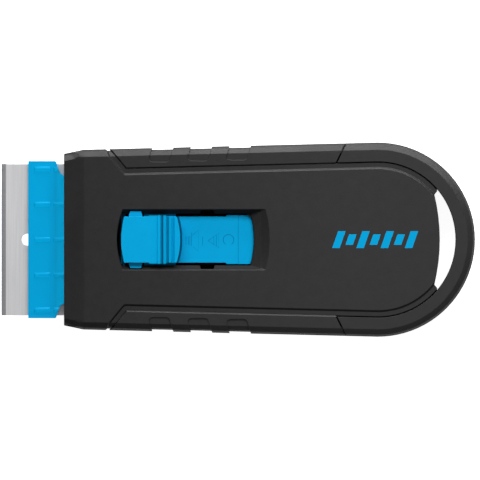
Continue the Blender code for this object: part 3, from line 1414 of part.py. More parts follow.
def build():
    for old in list(bpy.data.objects):
        bpy.data.objects.remove(old)
    parts = group_of("hand_scraper")
    cutters = group_of("cutters")
    shell_black = material("shell_black", (0.034, 0.034, 0.034), 0.55)
    grip_black = material("grip_black", (0.037, 0.037, 0.037), 0.7)
    slider_blue = material("slider_blue", (0.0, 0.337, 0.651), 0.4)
    blade_steel = material("blade_steel", (0.55, 0.55, 0.56), 0.35, 1.0)
    screw_steel = material("screw_steel", (0.4, 0.4, 0.41), 0.4, 1.0)
    outside = outside_cutters(cutters)
    hollow = cavity_cutters(cutters)
    finish(upper_housing(outside, hollow, parts, cutters), shell_black)
    finish(lower_housing(outside, hollow, parts, cutters), shell_black)
    finish(grip("grip_right", 1, parts, cutters), grip_black)
    finish(grip("grip_left", -1, parts, cutters), grip_black)
    finish(bow(parts, cutters), grip_black)
    on_carriage = [
        finish(carriage(parts, cutters), slider_blue),
        finish(blade_clamp(parts, cutters), slider_blue),
        finish(blade(parts, cutters), blade_steel),
        finish(slider_body(parts, cutters), slider_blue),
        finish(latch_spring(parts, cutters), slider_blue),
    ]
    button = finish(thumb_button(parts, cutters), slider_blue)
    for fastener in housing_screws(parts, cutters):
        finish(fastener, screw_steel)
    for fastener in carriage_screws(parts, cutters):
        on_carriage.append(finish(fastener, screw_steel))
    stem_middle = (STEM_BOTTOM + STEM_TOP) / 2
    slide = slide_axis("carriage_slide_axis", (STEM_REAR, 0, stem_middle), None, on_carriage)
    slide_axis("button_press_axis", (POST_X, 0, HEAD_UNDERSIDE), slide, [button])
    bpy.context.view_layer.update()


build()
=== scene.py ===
"""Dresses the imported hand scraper: moulded black plastic, satin blue plastic and ground
steel, the signs on its slider deck, a printed row of bars on its top panel, the thin
forms that its solids leave out, and a studio for a straight view from above."""

import json
import math

import bmesh
import bpy
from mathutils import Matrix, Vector


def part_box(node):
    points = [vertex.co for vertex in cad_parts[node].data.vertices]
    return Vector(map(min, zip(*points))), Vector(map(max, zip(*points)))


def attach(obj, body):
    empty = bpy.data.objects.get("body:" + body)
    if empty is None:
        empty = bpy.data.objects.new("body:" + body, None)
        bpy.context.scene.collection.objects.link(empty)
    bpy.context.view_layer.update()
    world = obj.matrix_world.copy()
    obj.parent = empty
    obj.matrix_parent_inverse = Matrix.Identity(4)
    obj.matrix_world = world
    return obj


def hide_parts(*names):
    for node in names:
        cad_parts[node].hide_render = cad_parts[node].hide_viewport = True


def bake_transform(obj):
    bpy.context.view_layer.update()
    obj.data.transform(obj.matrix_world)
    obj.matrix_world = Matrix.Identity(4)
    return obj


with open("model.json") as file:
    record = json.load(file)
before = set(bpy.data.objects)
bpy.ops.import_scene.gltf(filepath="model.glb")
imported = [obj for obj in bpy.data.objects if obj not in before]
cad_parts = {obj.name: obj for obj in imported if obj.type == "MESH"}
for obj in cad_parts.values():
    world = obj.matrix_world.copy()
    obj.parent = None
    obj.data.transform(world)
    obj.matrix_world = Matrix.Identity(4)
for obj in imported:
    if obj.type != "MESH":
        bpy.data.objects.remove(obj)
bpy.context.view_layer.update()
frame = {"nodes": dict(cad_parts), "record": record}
nodes = frame["nodes"]

MM = 0.001
HANDS = (("left", -1), ("right", 1))

# Photograph's frame, in metres on the plane of the handle's middle height
FRAME_WIDTH = 136.27 * MM
FRAME_CENTRE = (0.53 * MM, -0.11 * MM)
HANDLE_MIDDLE = 7.5 * MM
CAMERA_DISTANCE = 5.0
SENSOR_WIDTH = 36

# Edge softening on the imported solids
WELD_DISTANCE = 0.002 * MM
FLAT_ANGLE = math.radians(0.4)
EDGE_ANGLE = math.radians(15)
RIB_EDGE_ANGLE = math.radians(55)
PLASTIC_EDGE = 0.14 * MM
THIN_EDGE = 0.08 * MM
EDGE_STEPS = 2
SHADING_WEIGHT = 80

# Surface groups: what they count per metre, each noise's detail and roughness, and the
# ends between which each factor is spread
PITS, CLOUDS, PATCHES = 4200.0, 420.0, 60.0
LINES = (9000.0, 90.0, 9000.0)
FINE_NOISE = (4.0, 0.6)
CLOUD_NOISE = (5.0, 0.7)
PATCH_NOISE = (3.0, 0.5)
LINE_NOISE = (3.0, 0.6)
CELL_SHARE = 0.6
FLECK_ENDS = (0.36, 0.64)
POLISH_ENDS = (0.42, 0.68)
STREAK_ENDS = (0.3, 0.7)

# Black plastic: pairs of linear greys for the nose and the tail, between which runs the
# painted light ramp, the painted shade grey of steep walls on the shaded side, and what its walls
# do
SHELL_GREYS = (0.002, 0.017)
GRIP_GREYS = (0.004, 0.018)
PAINTED_SHADE_GREY = 0.003
BLACK_ROUGHNESS = 0.44
SHELL_POLISH_DROP = 0.08
GRIP_POLISH_DROP = 0.06
SHELL_GRAIN = 0.03 * MM
GRIP_GRAIN = 0.035 * MM
BLACK_SPECULAR = 0.35
BLACK_BUMP = 0.5
LIGHT_RAMP_WEIGHT = 2.0
STEEP_ROUGHNESS = 0.95
STEEP_LEVELS = (0.7, 0.3)
PAINTED_SHADE_LEVELS = (0.85, 0.5)
PAINTED_SHADE_SIDE = (0.5, 0.1)
SLOT_PIT = [("X", -36.0 * MM, 6.4 * MM), ("Y", -8.7 * MM, 8.7 * MM), ("Z", 0.0, 14.9 * MM)]
PIT_BLUR = 0.2 * MM

# Blue plastic: pairs of linear colours between which its flecks vary
SATIN_BLUES = ((0.0, 0.302, 0.585), (0.0, 0.317, 0.612))
# The signs' darker blue is painted shade of engraved lines, of the deck's crease and of the gap
# behind the button
SIGN_SHADE_BLUES = ((0.0, 0.12, 0.27), (0.0, 0.14, 0.3))
SATIN_ROUGHNESS = 0.4
SIGN_ROUGHNESS = 0.5
BLUE_POLISH_DROP = 0.08
BLUE_SPECULAR = 0.05
BLUE_BUMP = 0.25
BLUE_GRAIN = 0.012 * MM
BLUE_PITS = {"Pits per metre": 6500.0, "Cloud per metre": 160.0}
BLUE_PATCHES = {"Patches per metre": 110.0}
# Painted light: the facings on the shaded side between which the lighter blue comes in
PAINTED_LIGHT_SIDE = (-0.05, -0.35)

# Tints on the blue pieces: painted shade in the button's grooves and on its flanks, and painted
# light on the clamp by the mouth
GROOVES = [(-21.5 * MM, 1.0), (-19.95 * MM, 0.75)]
GROOVE_HALF_WIDTH = 0.3 * MM
GROOVE_DEPTHS = (3.0 * MM, 0.25 * MM)
GROOVE_BLUR = 0.12 * MM
GROOVE_SHADE_BLUE = (0.0, 0.1, 0.2)
FLANK_ENDS = (-27.0 * MM, -16.0 * MM)
FLANK_REACH = (6.75 * MM, 9.0 * MM)
FLANK_BLUR = 0.3 * MM
FLANK_SHADE_BLUE = (0.0, 0.05, 0.1)
FLANK_STRENGTH = 0.8
MOUTH_LIGHT_REACH = (1.2 * MM, 2.0 * MM)
MOUTH_LIGHT_BLUR = 2.4 * MM
PAINTED_LIGHT_BLUE = (0.0, 0.55, 1.0)

# Steel: pairs of linear colours between which its streaks vary
BLADE_FACE = ((0.55, 0.55, 0.56), (0.66, 0.66, 0.67))
BLADE_BEVEL = ((0.225, 0.225, 0.235), (0.31, 0.31, 0.32))
BLADE_METALLIC = 0.85
BLADE_ROUGHNESS = (0.42, 0.55)
BLADE_GRAIN = 0.004 * MM
ROLLED_LINES = {"Lines per metre": (7000.0, 60.0, 7000.0)}
GROUND_LINES = {"Lines per metre": (300.0, 16000.0, 300.0)}
BLADE_GRIND = 1.2 * MM
GRIND_BLUR = 0.1 * MM
SCREW_STEELS = ((0.36, 0.36, 0.37), (0.52, 0.52, 0.53))
SCREW_ROUGHNESS = (0.3, 0.42)
SCREW_GRAIN = 0.005 * MM
TURNED_LINES = {"Lines per metre": (5000.0, 5000.0, 900.0)}
STEEL_BUMP = 0.2

# Signs on the slider deck: lines through points behind the deck's front edge, in mm. Each
# hatch line is how far behind it lies and its two ends
DECK_LENGTH = 20.3 * MM
SIGN_LINE = 0.075 * MM
RING_LINE = 0.11 * MM
CREASE_LINE = 0.07 * MM
SIGN_SINK_SHARE = 0.6
CREASE_SETBACK = 15.9 * MM
CREASE_SHARE = 0.985
ARROW_MM = [(2.9, 1.2), (4.6, 2.8), (4.6, -3.3), (3.1, -2.0)]
LOCK_MM = [(7.4, -0.3), (10.4, 1.9), (10.4, -2.3), (7.4, -0.3)]
HATCH_MM = [
    (1.1, 0.9, -1.4),
    (1.8, 0.9, -1.4),
    (2.2, 1.1, -1.6),
    (2.65, 2.0, -1.9),
    (5.8, 0.9, -1.6),
    (9.0, 0.8, -1.4),
    (9.7, 1.3, -1.8),
]
RING_CENTRE_MM = (13.15, -0.05)
RING_RADIUS = 1.5 * MM
RING_OPENING = math.radians(70)
RING_STEPS = 28

# Lip in front of the slider deck, in the gap behind the thumb button
LIP_RADIUS = 0.2 * MM
LIP_SETBACK = 0.18 * MM
LIP_DROP = 0.25 * MM
LIP_BULGE = 1.0 * MM
LIP_HALF_LENGTH = 6.6 * MM
LIP_STEPS = 16

# Printed bars on the top panel
MARK_START = 27.5 * MM
MARK_LENGTH = 24.0 * MM
MARK_HEIGHT = 4.8 * MM
MARK_BARS = 7
MARK_SLANT_SHARE = 0.35
MARK_FILL_SHARE = 0.62
MARK_FILM = 0.012 * MM

# Outline of the handle: its sides from the shoulder to the tail, and its rim
SHOULDER_X = -43.875 * MM
SHOULDER_HALF_WIDTH = 25.5 * MM
TAIL_X = 39.625 * MM
TAIL_RADIUS = 27.55 * MM
BAND_WIDTH = 5.4 * MM
RIM_FACET = 1.1 * MM
RIM_FACET_DROP = 0.42 * MM
RIM_ROUND = 1.0 * MM
RIM_ROUND_DROP = 1.9 * MM
RIM_WIDTH = RIM_FACET + RIM_ROUND

# Nose skin: the shells' nose slope brought up to a gentler one that keeps the rim's facet
NOSE_LENGTH = 5.5 * MM
NOSE_LEAD = 0.15 * MM
NOSE_HALF_WIDTH = 24.35 * MM
NOSE_DROP = 1.8 * MM
SKIN_DROP = 0.75 * MM
SKIN_PROUD = 0.015 * MM
SKIN_SUNK = 0.12 * MM
SKIN_EDGE = 0.1 * MM
SKIN_STEPS = 14
SKIN_CREASE = math.radians(10)
ROUND_SHARES = [0.02, 0.1, 0.25, 0.45, 0.7, 1.0]
FACET_SHARES = [0.25, 0.5, 0.75, 1.0, 1.6, 4.0, 10.0]
FACET_LIMIT_SHARES = [0.45, 0.7, 1.0]
FACET_END_SHARE = 0.7
FACET_LEAST_SHARE = 0.8

# Front and rear end of each grip, on slanted lines across the band, and the seams there
GRIP_FRONT = -31.575 * MM
GRIP_RAKE = -0.81
BOW_FRONT = 28.225 * MM
BOW_RAKE = 0.5
BOW_SEAM = 0.45 * MM
SEAM_LEAN = 0.7 * MM
SEAM_REACH = 8.5 * MM

# Seam tongues: each seam's place, rake and thickness, and pairs of inset and height in mm
TONGUES = {
    "grip_seam": (GRIP_FRONT - 0.15 * MM, GRIP_RAKE, 0.16 * MM),
    "bow_seam": (BOW_FRONT - 0.25 * MM, BOW_RAKE, 0.28 * MM),
}
TONGUE_MM = [(2.6, 0.0), (2.6, 6.9), (1.6, 6.7), (0.9, 6.0), (0.55, 4.8), (0.5, 0.0)]

# Sloping edge of each grip: pairs of reach past the grip and height, in mm
EDGE_START = RIM_WIDTH
EDGE_SLOPE_MM = [(-0.09, 14.955), (0.4, 14.5), (0.0, 13.6), (-0.09, 13.6)]

# Latch spring that bends as the thumb button is pressed
SPRING_ROOT = -20.8 * MM
SPRING_END = -27.4 * MM
SPRING_CUTS = 9
SPRING_CREASE = math.radians(25)

# Studio: each lamp's place, size and power
WORLD_LEVEL = 0.17
LAMPS = {
    "key_softbox": ((0.03, 0.56, 0.56), (1.15, 0.3), 9.2),
    "side_strip": ((0.05, 0.88, 0.2), (0.8, 0.2), 5.0),
    "top_softbox": ((0.05, 0.0, 1.2), (0.8, 0.8), 1.5),
}
FLOOR_SIZE = 60.0
FLOOR_DROP = 0.03 * MM
FLOOR_GREY = 0.8
FLOOR_ROUGHNESS = 0.9
FLOOR_GLOW = 0.92


def grey(level):
    """A plain grey colour."""
    return (level, level, level)


def new_group(name, inputs, outputs):
    """An empty shader node group with named float or colour sockets."""
    group = bpy.data.node_groups.new(name, "ShaderNodeTree")
    for label, kind, value in inputs:
        socket = group.interface.new_socket(name=label, in_out="INPUT", socket_type=kind)
        socket.default_value = value
    for label, kind in outputs:
        group.interface.new_socket(name=label, in_out="OUTPUT", socket_type=kind)
    group.nodes.new("NodeGroupInput")
    group.nodes.new("NodeGroupOutput")
    return group


def feed(tree, value, socket):
    """Gives a node's input a socket's value or a plain one."""
    if isinstance(value, bpy.types.NodeSocket):
        tree.links.new(value, socket)
    else:
        socket.default_value = value


def math_node(tree, operation, first, second=None):
    """A Math node fed by sockets or plain numbers; gives its output socket."""
    node = tree.nodes.new("ShaderNodeMath")
    node.operation = operation
    feed(tree, first, node.inputs[0])
    if second is not None:
        feed(tree, second, node.inputs[1])
    return node.outputs[0]


def times(tree, first, second):
    """The product of two factors."""
    return math_node(tree, "MULTIPLY", first, second)


def noise(tree, vector, scale, detail, roughness):
    """A noise texture on the given coordinates; gives its factor socket."""
    node = tree.nodes.new("ShaderNodeTexNoise")
    tree.links.new(vector, node.inputs["Vector"])
    feed(tree, scale, node.inputs["Scale"])
    node.inputs["Detail"].default_value = detail
    node.inputs["Roughness"].default_value = roughness
    return node.outputs["Fac"]


def place_in(tree):
    """The piece's own coordinates, in metres."""
    return tree.nodes.new("ShaderNodeTexCoord").outputs["Object"]


def axes_of(tree, vector):
    """The three parts of a vector socket, by axis."""
    split = tree.nodes.new("ShaderNodeSeparateXYZ")
    tree.links.new(vector, split.inputs["Vector"])
    return split.outputs


def facing_in(tree):
    """The direction that the surface faces in the piece's own coordinates, by axis."""
    return axes_of(tree, tree.nodes.new("ShaderNodeTexCoord").outputs["Normal"])


def spread(tree, value, low, high, out_low=0.0, out_high=1.0):
    """Maps a factor from one range to another, held at both ends."""
    node = tree.nodes.new("ShaderNodeMapRange")
    tree.links.new(value, node.inputs["Value"])
    node.inputs["From Min"].default_value = low
    node.inputs["From Max"].default_value = high
    node.inputs["To Min"].default_value = out_low
    node.inputs["To Max"].default_value = out_high
    return node.outputs["Result"]


def make_spark_grain():
    """The fine pitted grain of a spark-eroded mould: its height, and slight flecks of tone."""
    group = new_group(
        "spark_grain",
        [
            ("Pits per metre", "NodeSocketFloat", PITS),
            ("Cloud per metre", "NodeSocketFloat", CLOUDS),
        ],
        [("Height", "NodeSocketFloat"), ("Fleck", "NodeSocketFloat")],
    )
    entry, leave = group.nodes["Group Input"], group.nodes["Group Output"]
    place = place_in(group)
    cells = group.nodes.new("ShaderNodeTexVoronoi")
    cells.feature = "SMOOTH_F1"
    group.links.new(place, cells.inputs["Vector"])
    group.links.new(entry.outputs["Pits per metre"], cells.inputs["Scale"])
    fine = noise(group, place, entry.outputs["Pits per metre"], *FINE_NOISE)
    height = math_node(group, "MULTIPLY_ADD", cells.outputs["Distance"], CELL_SHARE)
    group.links.new(fine, height.node.inputs[2])
    cloud = noise(group, place, entry.outputs["Cloud per metre"], *CLOUD_NOISE)
    mixed = math_node(group, "ADD", times(group, fine, 0.5), times(group, cloud, 0.5))
    group.links.new(height, leave.inputs["Height"])
    group.links.new(spread(group, mixed, *FLECK_ENDS), leave.inputs["Fleck"])
    return group


def make_handling():
    """Faint patches where hands have polished a surface, from 0 to 1."""
    group = new_group(
        "handling",
        [("Patches per metre", "NodeSocketFloat", PATCHES)],
        [("Polish", "NodeSocketFloat")],
    )
    entry, leave = group.nodes["Group Input"], group.nodes["Group Output"]
    patches = noise(group, place_in(group), entry.outputs["Patches per metre"], *PATCH_NOISE)
    group.links.new(spread(group, patches, *POLISH_ENDS), leave.inputs["Polish"])
    return group


def make_drawn_lines():
    """Fine lines along one direction of a rolled or ground metal face."""
    group = new_group(
        "drawn_lines",
        [("Lines per metre", "NodeSocketVector", LINES)],
        [("Height", "NodeSocketFloat"), ("Streak", "NodeSocketFloat")],
    )
    entry, leave = group.nodes["Group Input"], group.nodes["Group Output"]
    scaled = group.nodes.new("ShaderNodeVectorMath")
    scaled.operation = "MULTIPLY"
    group.links.new(place_in(group), scaled.inputs[0])
    group.links.new(entry.outputs["Lines per metre"], scaled.inputs[1])
    lines = noise(group, scaled.outputs["Vector"], 1.0, *LINE_NOISE)
    group.links.new(lines, leave.inputs["Height"])
    group.links.new(spread(group, lines, *STREAK_ENDS), leave.inputs["Streak"])
    return group


def use_group(material, group, values):
    """Places a node group in a material with its own values."""
    node = material.node_tree.nodes.new("ShaderNodeGroup")
    node.node_tree = group
    for label, value in values.items():
        node.inputs[label].default_value = value
    return node


def new_material(name):
    """A material with its Principled shader."""
    made = bpy.data.materials.new(name)
    made.use_nodes = True
    return made, made.node_tree.nodes["Principled BSDF"]


def mix_colours(tree, factor, first, second):
    """A colour between two, by a factor socket. Each is a colour socket or a plain colour."""
    node = tree.nodes.new("ShaderNodeMix")
    node.data_type = "RGBA"
    tree.links.new(factor, node.inputs["Factor"])
    for label, colour in (("A", first), ("B", second)):
        if not isinstance(colour, bpy.types.NodeSocket):
            colour = (*colour, 1)
        feed(tree, colour, node.inputs[label])
    return node.outputs["Result"]


def box_mask(tree, spans, blur):
    """One inside a box of the piece's own coordinates and 0 outside it. Each span is an
    axis with its low and high end."""
    place = axes_of(tree, place_in(tree))
    mask = None
    for axis, low, high in spans:
        above = spread(tree, place[axis], low - blur / 2, low + blur / 2)
        below = spread(tree, place[axis], high - blur / 2, high + blur / 2, 1.0, 0.0)
        inside = times(tree, above, below)
        mask = inside if mask is None else times(tree, mask, inside)
    return mask


def add_bump(tree, shader, height, strength, distance):
    """Bumps a shader's normal by a height socket."""
    node = tree.nodes.new("ShaderNodeBump")
    node.inputs["Strength"].default_value = strength
    node.inputs["Distance"].default_value = distance
    tree.links.new(height, node.inputs["Height"])
    tree.links.new(node.outputs["Normal"], shader.inputs["Normal"])


def black_plastic(name, greys, polish_drop, grain_depth, groups, pit=None):
    """Black moulded plastic with spark grain, flecks of tone and faint handling marks, and
    painted light that makes the black slightly lighter from the nose towards the tail. Steep
    walls and the pit of the slider slot, which nothing rubs, keep the mould's full roughness,
    and the steep walls on the shaded side get a deeper black as painted shade."""
    made, shader = new_material(name)
    tree = made.node_tree
    grain = use_group(made, groups["spark_grain"], {})
    polish = use_group(made, groups["handling"], {})
    along = axes_of(tree, place_in(tree))["X"]
    # Painted light: the black grows lighter from the nose towards the tail
    painted_light_ramp = spread(tree, along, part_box("upper_housing")[0].x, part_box("rear_bow")[1].x / 2)
    tone = math_node(tree, "ADD", times(tree, painted_light_ramp, LIGHT_RAMP_WEIGHT), grain.outputs["Fleck"])
    tone = times(tree, tone, 1 / (LIGHT_RAMP_WEIGHT + 1))
    # Painted shade: steep walls that face away from the key lamp get a deeper black
    facing = facing_in(tree)
    level = math_node(tree, "ABSOLUTE", facing["Z"])
    shaded = spread(tree, facing["Y"], *PAINTED_SHADE_SIDE)
    painted_shade = times(tree, spread(tree, level, *PAINTED_SHADE_LEVELS), shaded)
    colour = mix_colours(tree, tone, *map(grey, greys))
    colour = mix_colours(tree, painted_shade, colour, grey(PAINTED_SHADE_GREY))
    tree.links.new(colour, shader.inputs["Base Color"])
    polished = BLACK_ROUGHNESS - polish_drop
    rough = spread(tree, polish.outputs["Polish"], 0.0, 1.0, BLACK_ROUGHNESS, polished)
    steep = spread(tree, level, *STEEP_LEVELS, 0.0, STEEP_ROUGHNESS)
    rough = math_node(tree, "MAXIMUM", rough, steep)
    if pit:
        inside = times(tree, box_mask(tree, pit, PIT_BLUR), STEEP_ROUGHNESS)
        rough = math_node(tree, "MAXIMUM", rough, inside)
    tree.links.new(rough, shader.inputs["Roughness"])
    shader.inputs["Specular IOR Level"].default_value = BLACK_SPECULAR
    add_bump(tree, shader, grain.outputs["Height"], BLACK_BUMP, grain_depth)
    return made


def blue_plastic(name, blues, roughness, groups, tints=(), painted_light=None):
    """Satin blue plastic with a faint moulded grain. Each tint, painted shade or painted light, is
    a box of the piece's own coordinates, its blur, its colour and its strength. The painted light
    is a lighter colour for the slopes on the shaded side."""
    made, shader = new_material(name)
    tree = made.node_tree
    grain = use_group(made, groups["spark_grain"], BLUE_PITS)
    polish = use_group(made, groups["handling"], BLUE_PATCHES)
    colour = mix_colours(tree, grain.outputs["Fleck"], *blues)
    for spans, blur, tint, strength in tints:
        mask = times(tree, box_mask(tree, spans, blur), strength)
        colour = mix_colours(tree, mask, colour, tint)
    if painted_light:
        # Painted light: slopes that face the shaded side get a lighter colour
        slope = spread(tree, facing_in(tree)["Y"], *PAINTED_LIGHT_SIDE)
        colour = mix_colours(tree, slope, colour, painted_light)
    tree.links.new(colour, shader.inputs["Base Color"])
    polished = roughness - BLUE_POLISH_DROP
    rough = spread(tree, polish.outputs["Polish"], 0.0, 1.0, roughness, polished)
    tree.links.new(rough, shader.inputs["Roughness"])
    shader.inputs["Specular IOR Level"].default_value = BLUE_SPECULAR
    add_bump(tree, shader, grain.outputs["Height"], BLUE_BUMP, BLUE_GRAIN)
    return made


def blade_steel(groups):
    """Rolled blade steel, streaked along its width, with a darker ground bevel at each edge."""
    made, shader = new_material("blade_steel_rolled")
    tree = made.node_tree
    rolled = use_group(made, groups["drawn_lines"], ROLLED_LINES)
    ground = use_group(made, groups["drawn_lines"], GROUND_LINES)
    along = axes_of(tree, place_in(tree))["X"]
    low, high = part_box("blade")
    front = spread(tree, along, low.x + BLADE_GRIND + GRIND_BLUR, low.x + BLADE_GRIND)
    rear = spread(tree, along, high.x - BLADE_GRIND - GRIND_BLUR, high.x - BLADE_GRIND)
    face = mix_colours(tree, rolled.outputs["Streak"], *BLADE_FACE)
    bevel = mix_colours(tree, ground.outputs["Streak"], *BLADE_BEVEL)
    colour = mix_colours(tree, math_node(tree, "MAXIMUM", front, rear), face, bevel)
    tree.links.new(colour, shader.inputs["Base Color"])
    shader.inputs["Metallic"].default_value = BLADE_METALLIC
    rough = spread(tree, rolled.outputs["Streak"], 0.0, 1.0, *BLADE_ROUGHNESS)
    tree.links.new(rough, shader.inputs["Roughness"])
    add_bump(tree, shader, rolled.outputs["Height"], STEEL_BUMP, BLADE_GRAIN)
    return made


def screw_steel(groups):
    """Zinc-plated screw steel, with turned lines."""
    made, shader = new_material("screw_zinc")
    tree = made.node_tree
    lines = use_group(made, groups["drawn_lines"], TURNED_LINES)
    colour = mix_colours(tree, lines.outputs["Streak"], *SCREW_STEELS)
    tree.links.new(colour, shader.inputs["Base Color"])
    shader.inputs["Metallic"].default_value = 1.0
    rough = spread(tree, lines.outputs["Streak"], 0.0, 1.0, *SCREW_ROUGHNESS)
    tree.links.new(rough, shader.inputs["Roughness"])
    add_bump(tree, shader, lines.outputs["Height"], STEEL_BUMP, SCREW_GRAIN)
    return made


def smooth_faces_tree():
    """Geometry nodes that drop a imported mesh's stored normals and shade its faces smooth."""
    tree = bpy.data.node_groups.new("smooth_faces", "GeometryNodeTree")
    for way in ("INPUT", "OUTPUT"):
        tree.interface.new_socket(name="Geometry", in_out=way, socket_type="NodeSocketGeometry")
    geometry = tree.nodes.new("NodeGroupInput").outputs[0]
    for stored in ("custom_normal", "sharp_edge"):
        drop = tree.nodes.new("GeometryNodeRemoveAttribute")
        drop.inputs["Name"].default_value = stored
        tree.links.new(geometry, drop.inputs["Geometry"])
        geometry = drop.outputs["Geometry"]
    shade = tree.nodes.new("GeometryNodeSetShadeSmooth")
    tree.links.new(geometry, shade.inputs["Geometry"])
    tree.links.new(shade.outputs["Geometry"], tree.nodes.new("NodeGroupOutput").inputs[0])
    return tree


def soften_edges(node, width, least_angle, smooth_tree):
    """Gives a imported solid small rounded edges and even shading, by modifiers alone."""
    weld = node.modifiers.new("weld", "WELD")
    weld.merge_threshold = WELD_DISTANCE
    flat = node.modifiers.new("flat_faces", "DECIMATE")
    flat.decimate_type = "DISSOLVE"
    flat.angle_limit = FLAT_ANGLE
    smooth = node.modifiers.new("smooth_faces", "NODES")
    smooth.node_group = smooth_tree
    edge = node.modifiers.new("rounded_edges", "BEVEL")
    edge.width = width
    edge.segments = EDGE_STEPS
    edge.limit_method = "ANGLE"
    edge.angle_limit = least_angle
    edge.use_clamp_overlap = False
    even = node.modifiers.new("even_shading", "WEIGHTED_NORMAL")
    even.keep_sharp = False
    even.weight = SHADING_WEIGHT


def button_tints():
    """Painted shade: a darker blue at the bottoms of the button's grooves, and on its flanks where
    the slot's shade falls.
    """
    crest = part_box("thumb_button")[1].z
    low, high = (crest - depth for depth in GROOVE_DEPTHS)
    tints = []
    for centre, strength in GROOVES:
        ends = (centre - GROOVE_HALF_WIDTH, centre + GROOVE_HALF_WIDTH)
        tints.append(([("X", *ends), ("Z", low, high)], GROOVE_BLUR, GROOVE_SHADE_BLUE, strength))
    for side in (1, -1):
        reach = sorted(side * place for place in FLANK_REACH)
        spans = [("X", *FLANK_ENDS), ("Y", *reach), ("Z", 0.0, crest)]
        tints.append((spans, FLANK_BLUR, FLANK_SHADE_BLUE, FLANK_STRENGTH))
    return tints


def clamp_tints():
    """Painted light: a lighter blue on the clamp where it runs into the mouth, over the shadow
    that the nose casts there.
    """
    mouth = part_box("upper_housing")[0].x
    ahead, behind = MOUTH_LIGHT_REACH
    return [([("X", mouth - ahead, mouth + behind)], MOUTH_LIGHT_BLUR, PAINTED_LIGHT_BLUE, 1.0)]


def dress_nodes(groups):
    """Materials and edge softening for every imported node; gives the materials by name."""
    satin = SATIN_BLUES, SATIN_ROUGHNESS, groups
    shell = SHELL_GREYS, SHELL_POLISH_DROP, SHELL_GRAIN, groups
    grip = GRIP_GREYS, GRIP_POLISH_DROP, GRIP_GRAIN, groups
    finishes = {
        "shell_black": black_plastic("shell_black_grained", *shell, SLOT_PIT),
        "grip_black": black_plastic("grip_black_grained", *grip),
        "slider_blue": blue_plastic("slider_blue_satin", *satin),
        "sign_blue": blue_plastic("sign_blue_painted_shade", SIGN_SHADE_BLUES, SIGN_ROUGHNESS, groups),
        "blade_steel": blade_steel(groups),
        "screw_steel": screw_steel(groups),
    }
    own_finish = {
        "thumb_button": blue_plastic("button_blue_satin", *satin, button_tints()),
        "blade_clamp": blue_plastic("clamp_blue_satin", *satin, clamp_tints(), PAINTED_LIGHT_BLUE),
    }
    smooth_tree = smooth_faces_tree()
    for part in frame["record"]["subparts"]:
        name, slot_name = part["node"], part["material_slot"]
        for slot in nodes[name].material_slots:
            slot.material = own_finish.get(name, finishes[slot_name])
        width = PLASTIC_EDGE if slot_name == "shell_black" else THIN_EDGE
        least_angle = RIB_EDGE_ANGLE if name == "blade_clamp" else EDGE_ANGLE
        soften_edges(nodes[name], width, least_angle, smooth_tree)
    return finishes


def add_object(name, data):
    """A new object in the scene."""
    thing = bpy.data.objects.new(name, data)
    bpy.context.scene.collection.objects.link(thing)
    return thing


def add_piece(name, data, material, body):
    """A new piece of the tool, which rides on a body."""
    piece = add_object(name, data)
    data.materials.append(material)
    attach(piece, body)
    return piece


def mesh_of(name, work):
    """A finished mesh with its faces turned outward."""
    bmesh.ops.recalc_face_normals(work, faces=work.faces)
    mesh = bpy.data.meshes.new(name)
    work.to_mesh(mesh)
    work.free()
    return mesh


def bridge(work, first, second):
    """Faces between two rows of vertices."""
    for a, b, c, d in zip(first, first[1:], second[1:], second):
        work.faces.new((a, b, c, d))


def bridge_rings(work, rings):
    """A closed solid through rings of vertices."""
    work.faces.new(rings[0])
    work.faces.new(rings[-1])
    for ahead, behind in zip(rings, rings[1:]):
        bridge(work, ahead + ahead[:1], behind + behind[:1])


def line_on(name, points, width, material, body):
    """A fine moulded line through points, sunk for the most part into the surface under it."""
    curve = bpy.data.curves.new(name, "CURVE")
    curve.dimensions = "3D"
    curve.bevel_depth = width
    curve.bevel_resolution = 2
    curve.use_fill_caps = True
    spline = curve.splines.new("POLY")
    spline.points.add(len(points) - 1)
    for point, (x, y, z) in zip(spline.points, points):
        point.co = (x, y, z - width * SIGN_SINK_SHARE, 1)
    return add_piece(name, curve, material, body)


def film_on(name, outline, height, material, body):
    """A thin printed film with a straight-sided outline on a level surface."""
    work = bmesh.new()
    levels = (height - MARK_FILM, height + MARK_FILM)
    bridge_rings(work, [[work.verts.new((x, y, z)) for x, y in outline] for z in levels])
    return add_piece(name, mesh_of(name, work), material, body)


def printed_bars(material, height):
    """A row of slanted bars on the top panel, long ones and short ones in turn."""
    pitch = MARK_LENGTH / MARK_BARS
    width = pitch * MARK_FILL_SHARE
    for index in range(MARK_BARS):
        tall = MARK_HEIGHT if index % 2 == 0 else MARK_HEIGHT * MARK_FILL_SHARE
        lean = tall * MARK_SLANT_SHARE
        left = MARK_START + index * pitch
        outline = [
            (left - lean / 2, -tall / 2),
            (left + width - lean / 2, -tall / 2),
            (left + width + lean / 2, tall / 2),
            (left + lean / 2, tall / 2),
        ]
        film_on(f"printed_bar_{index}", outline, height, material, "housing")


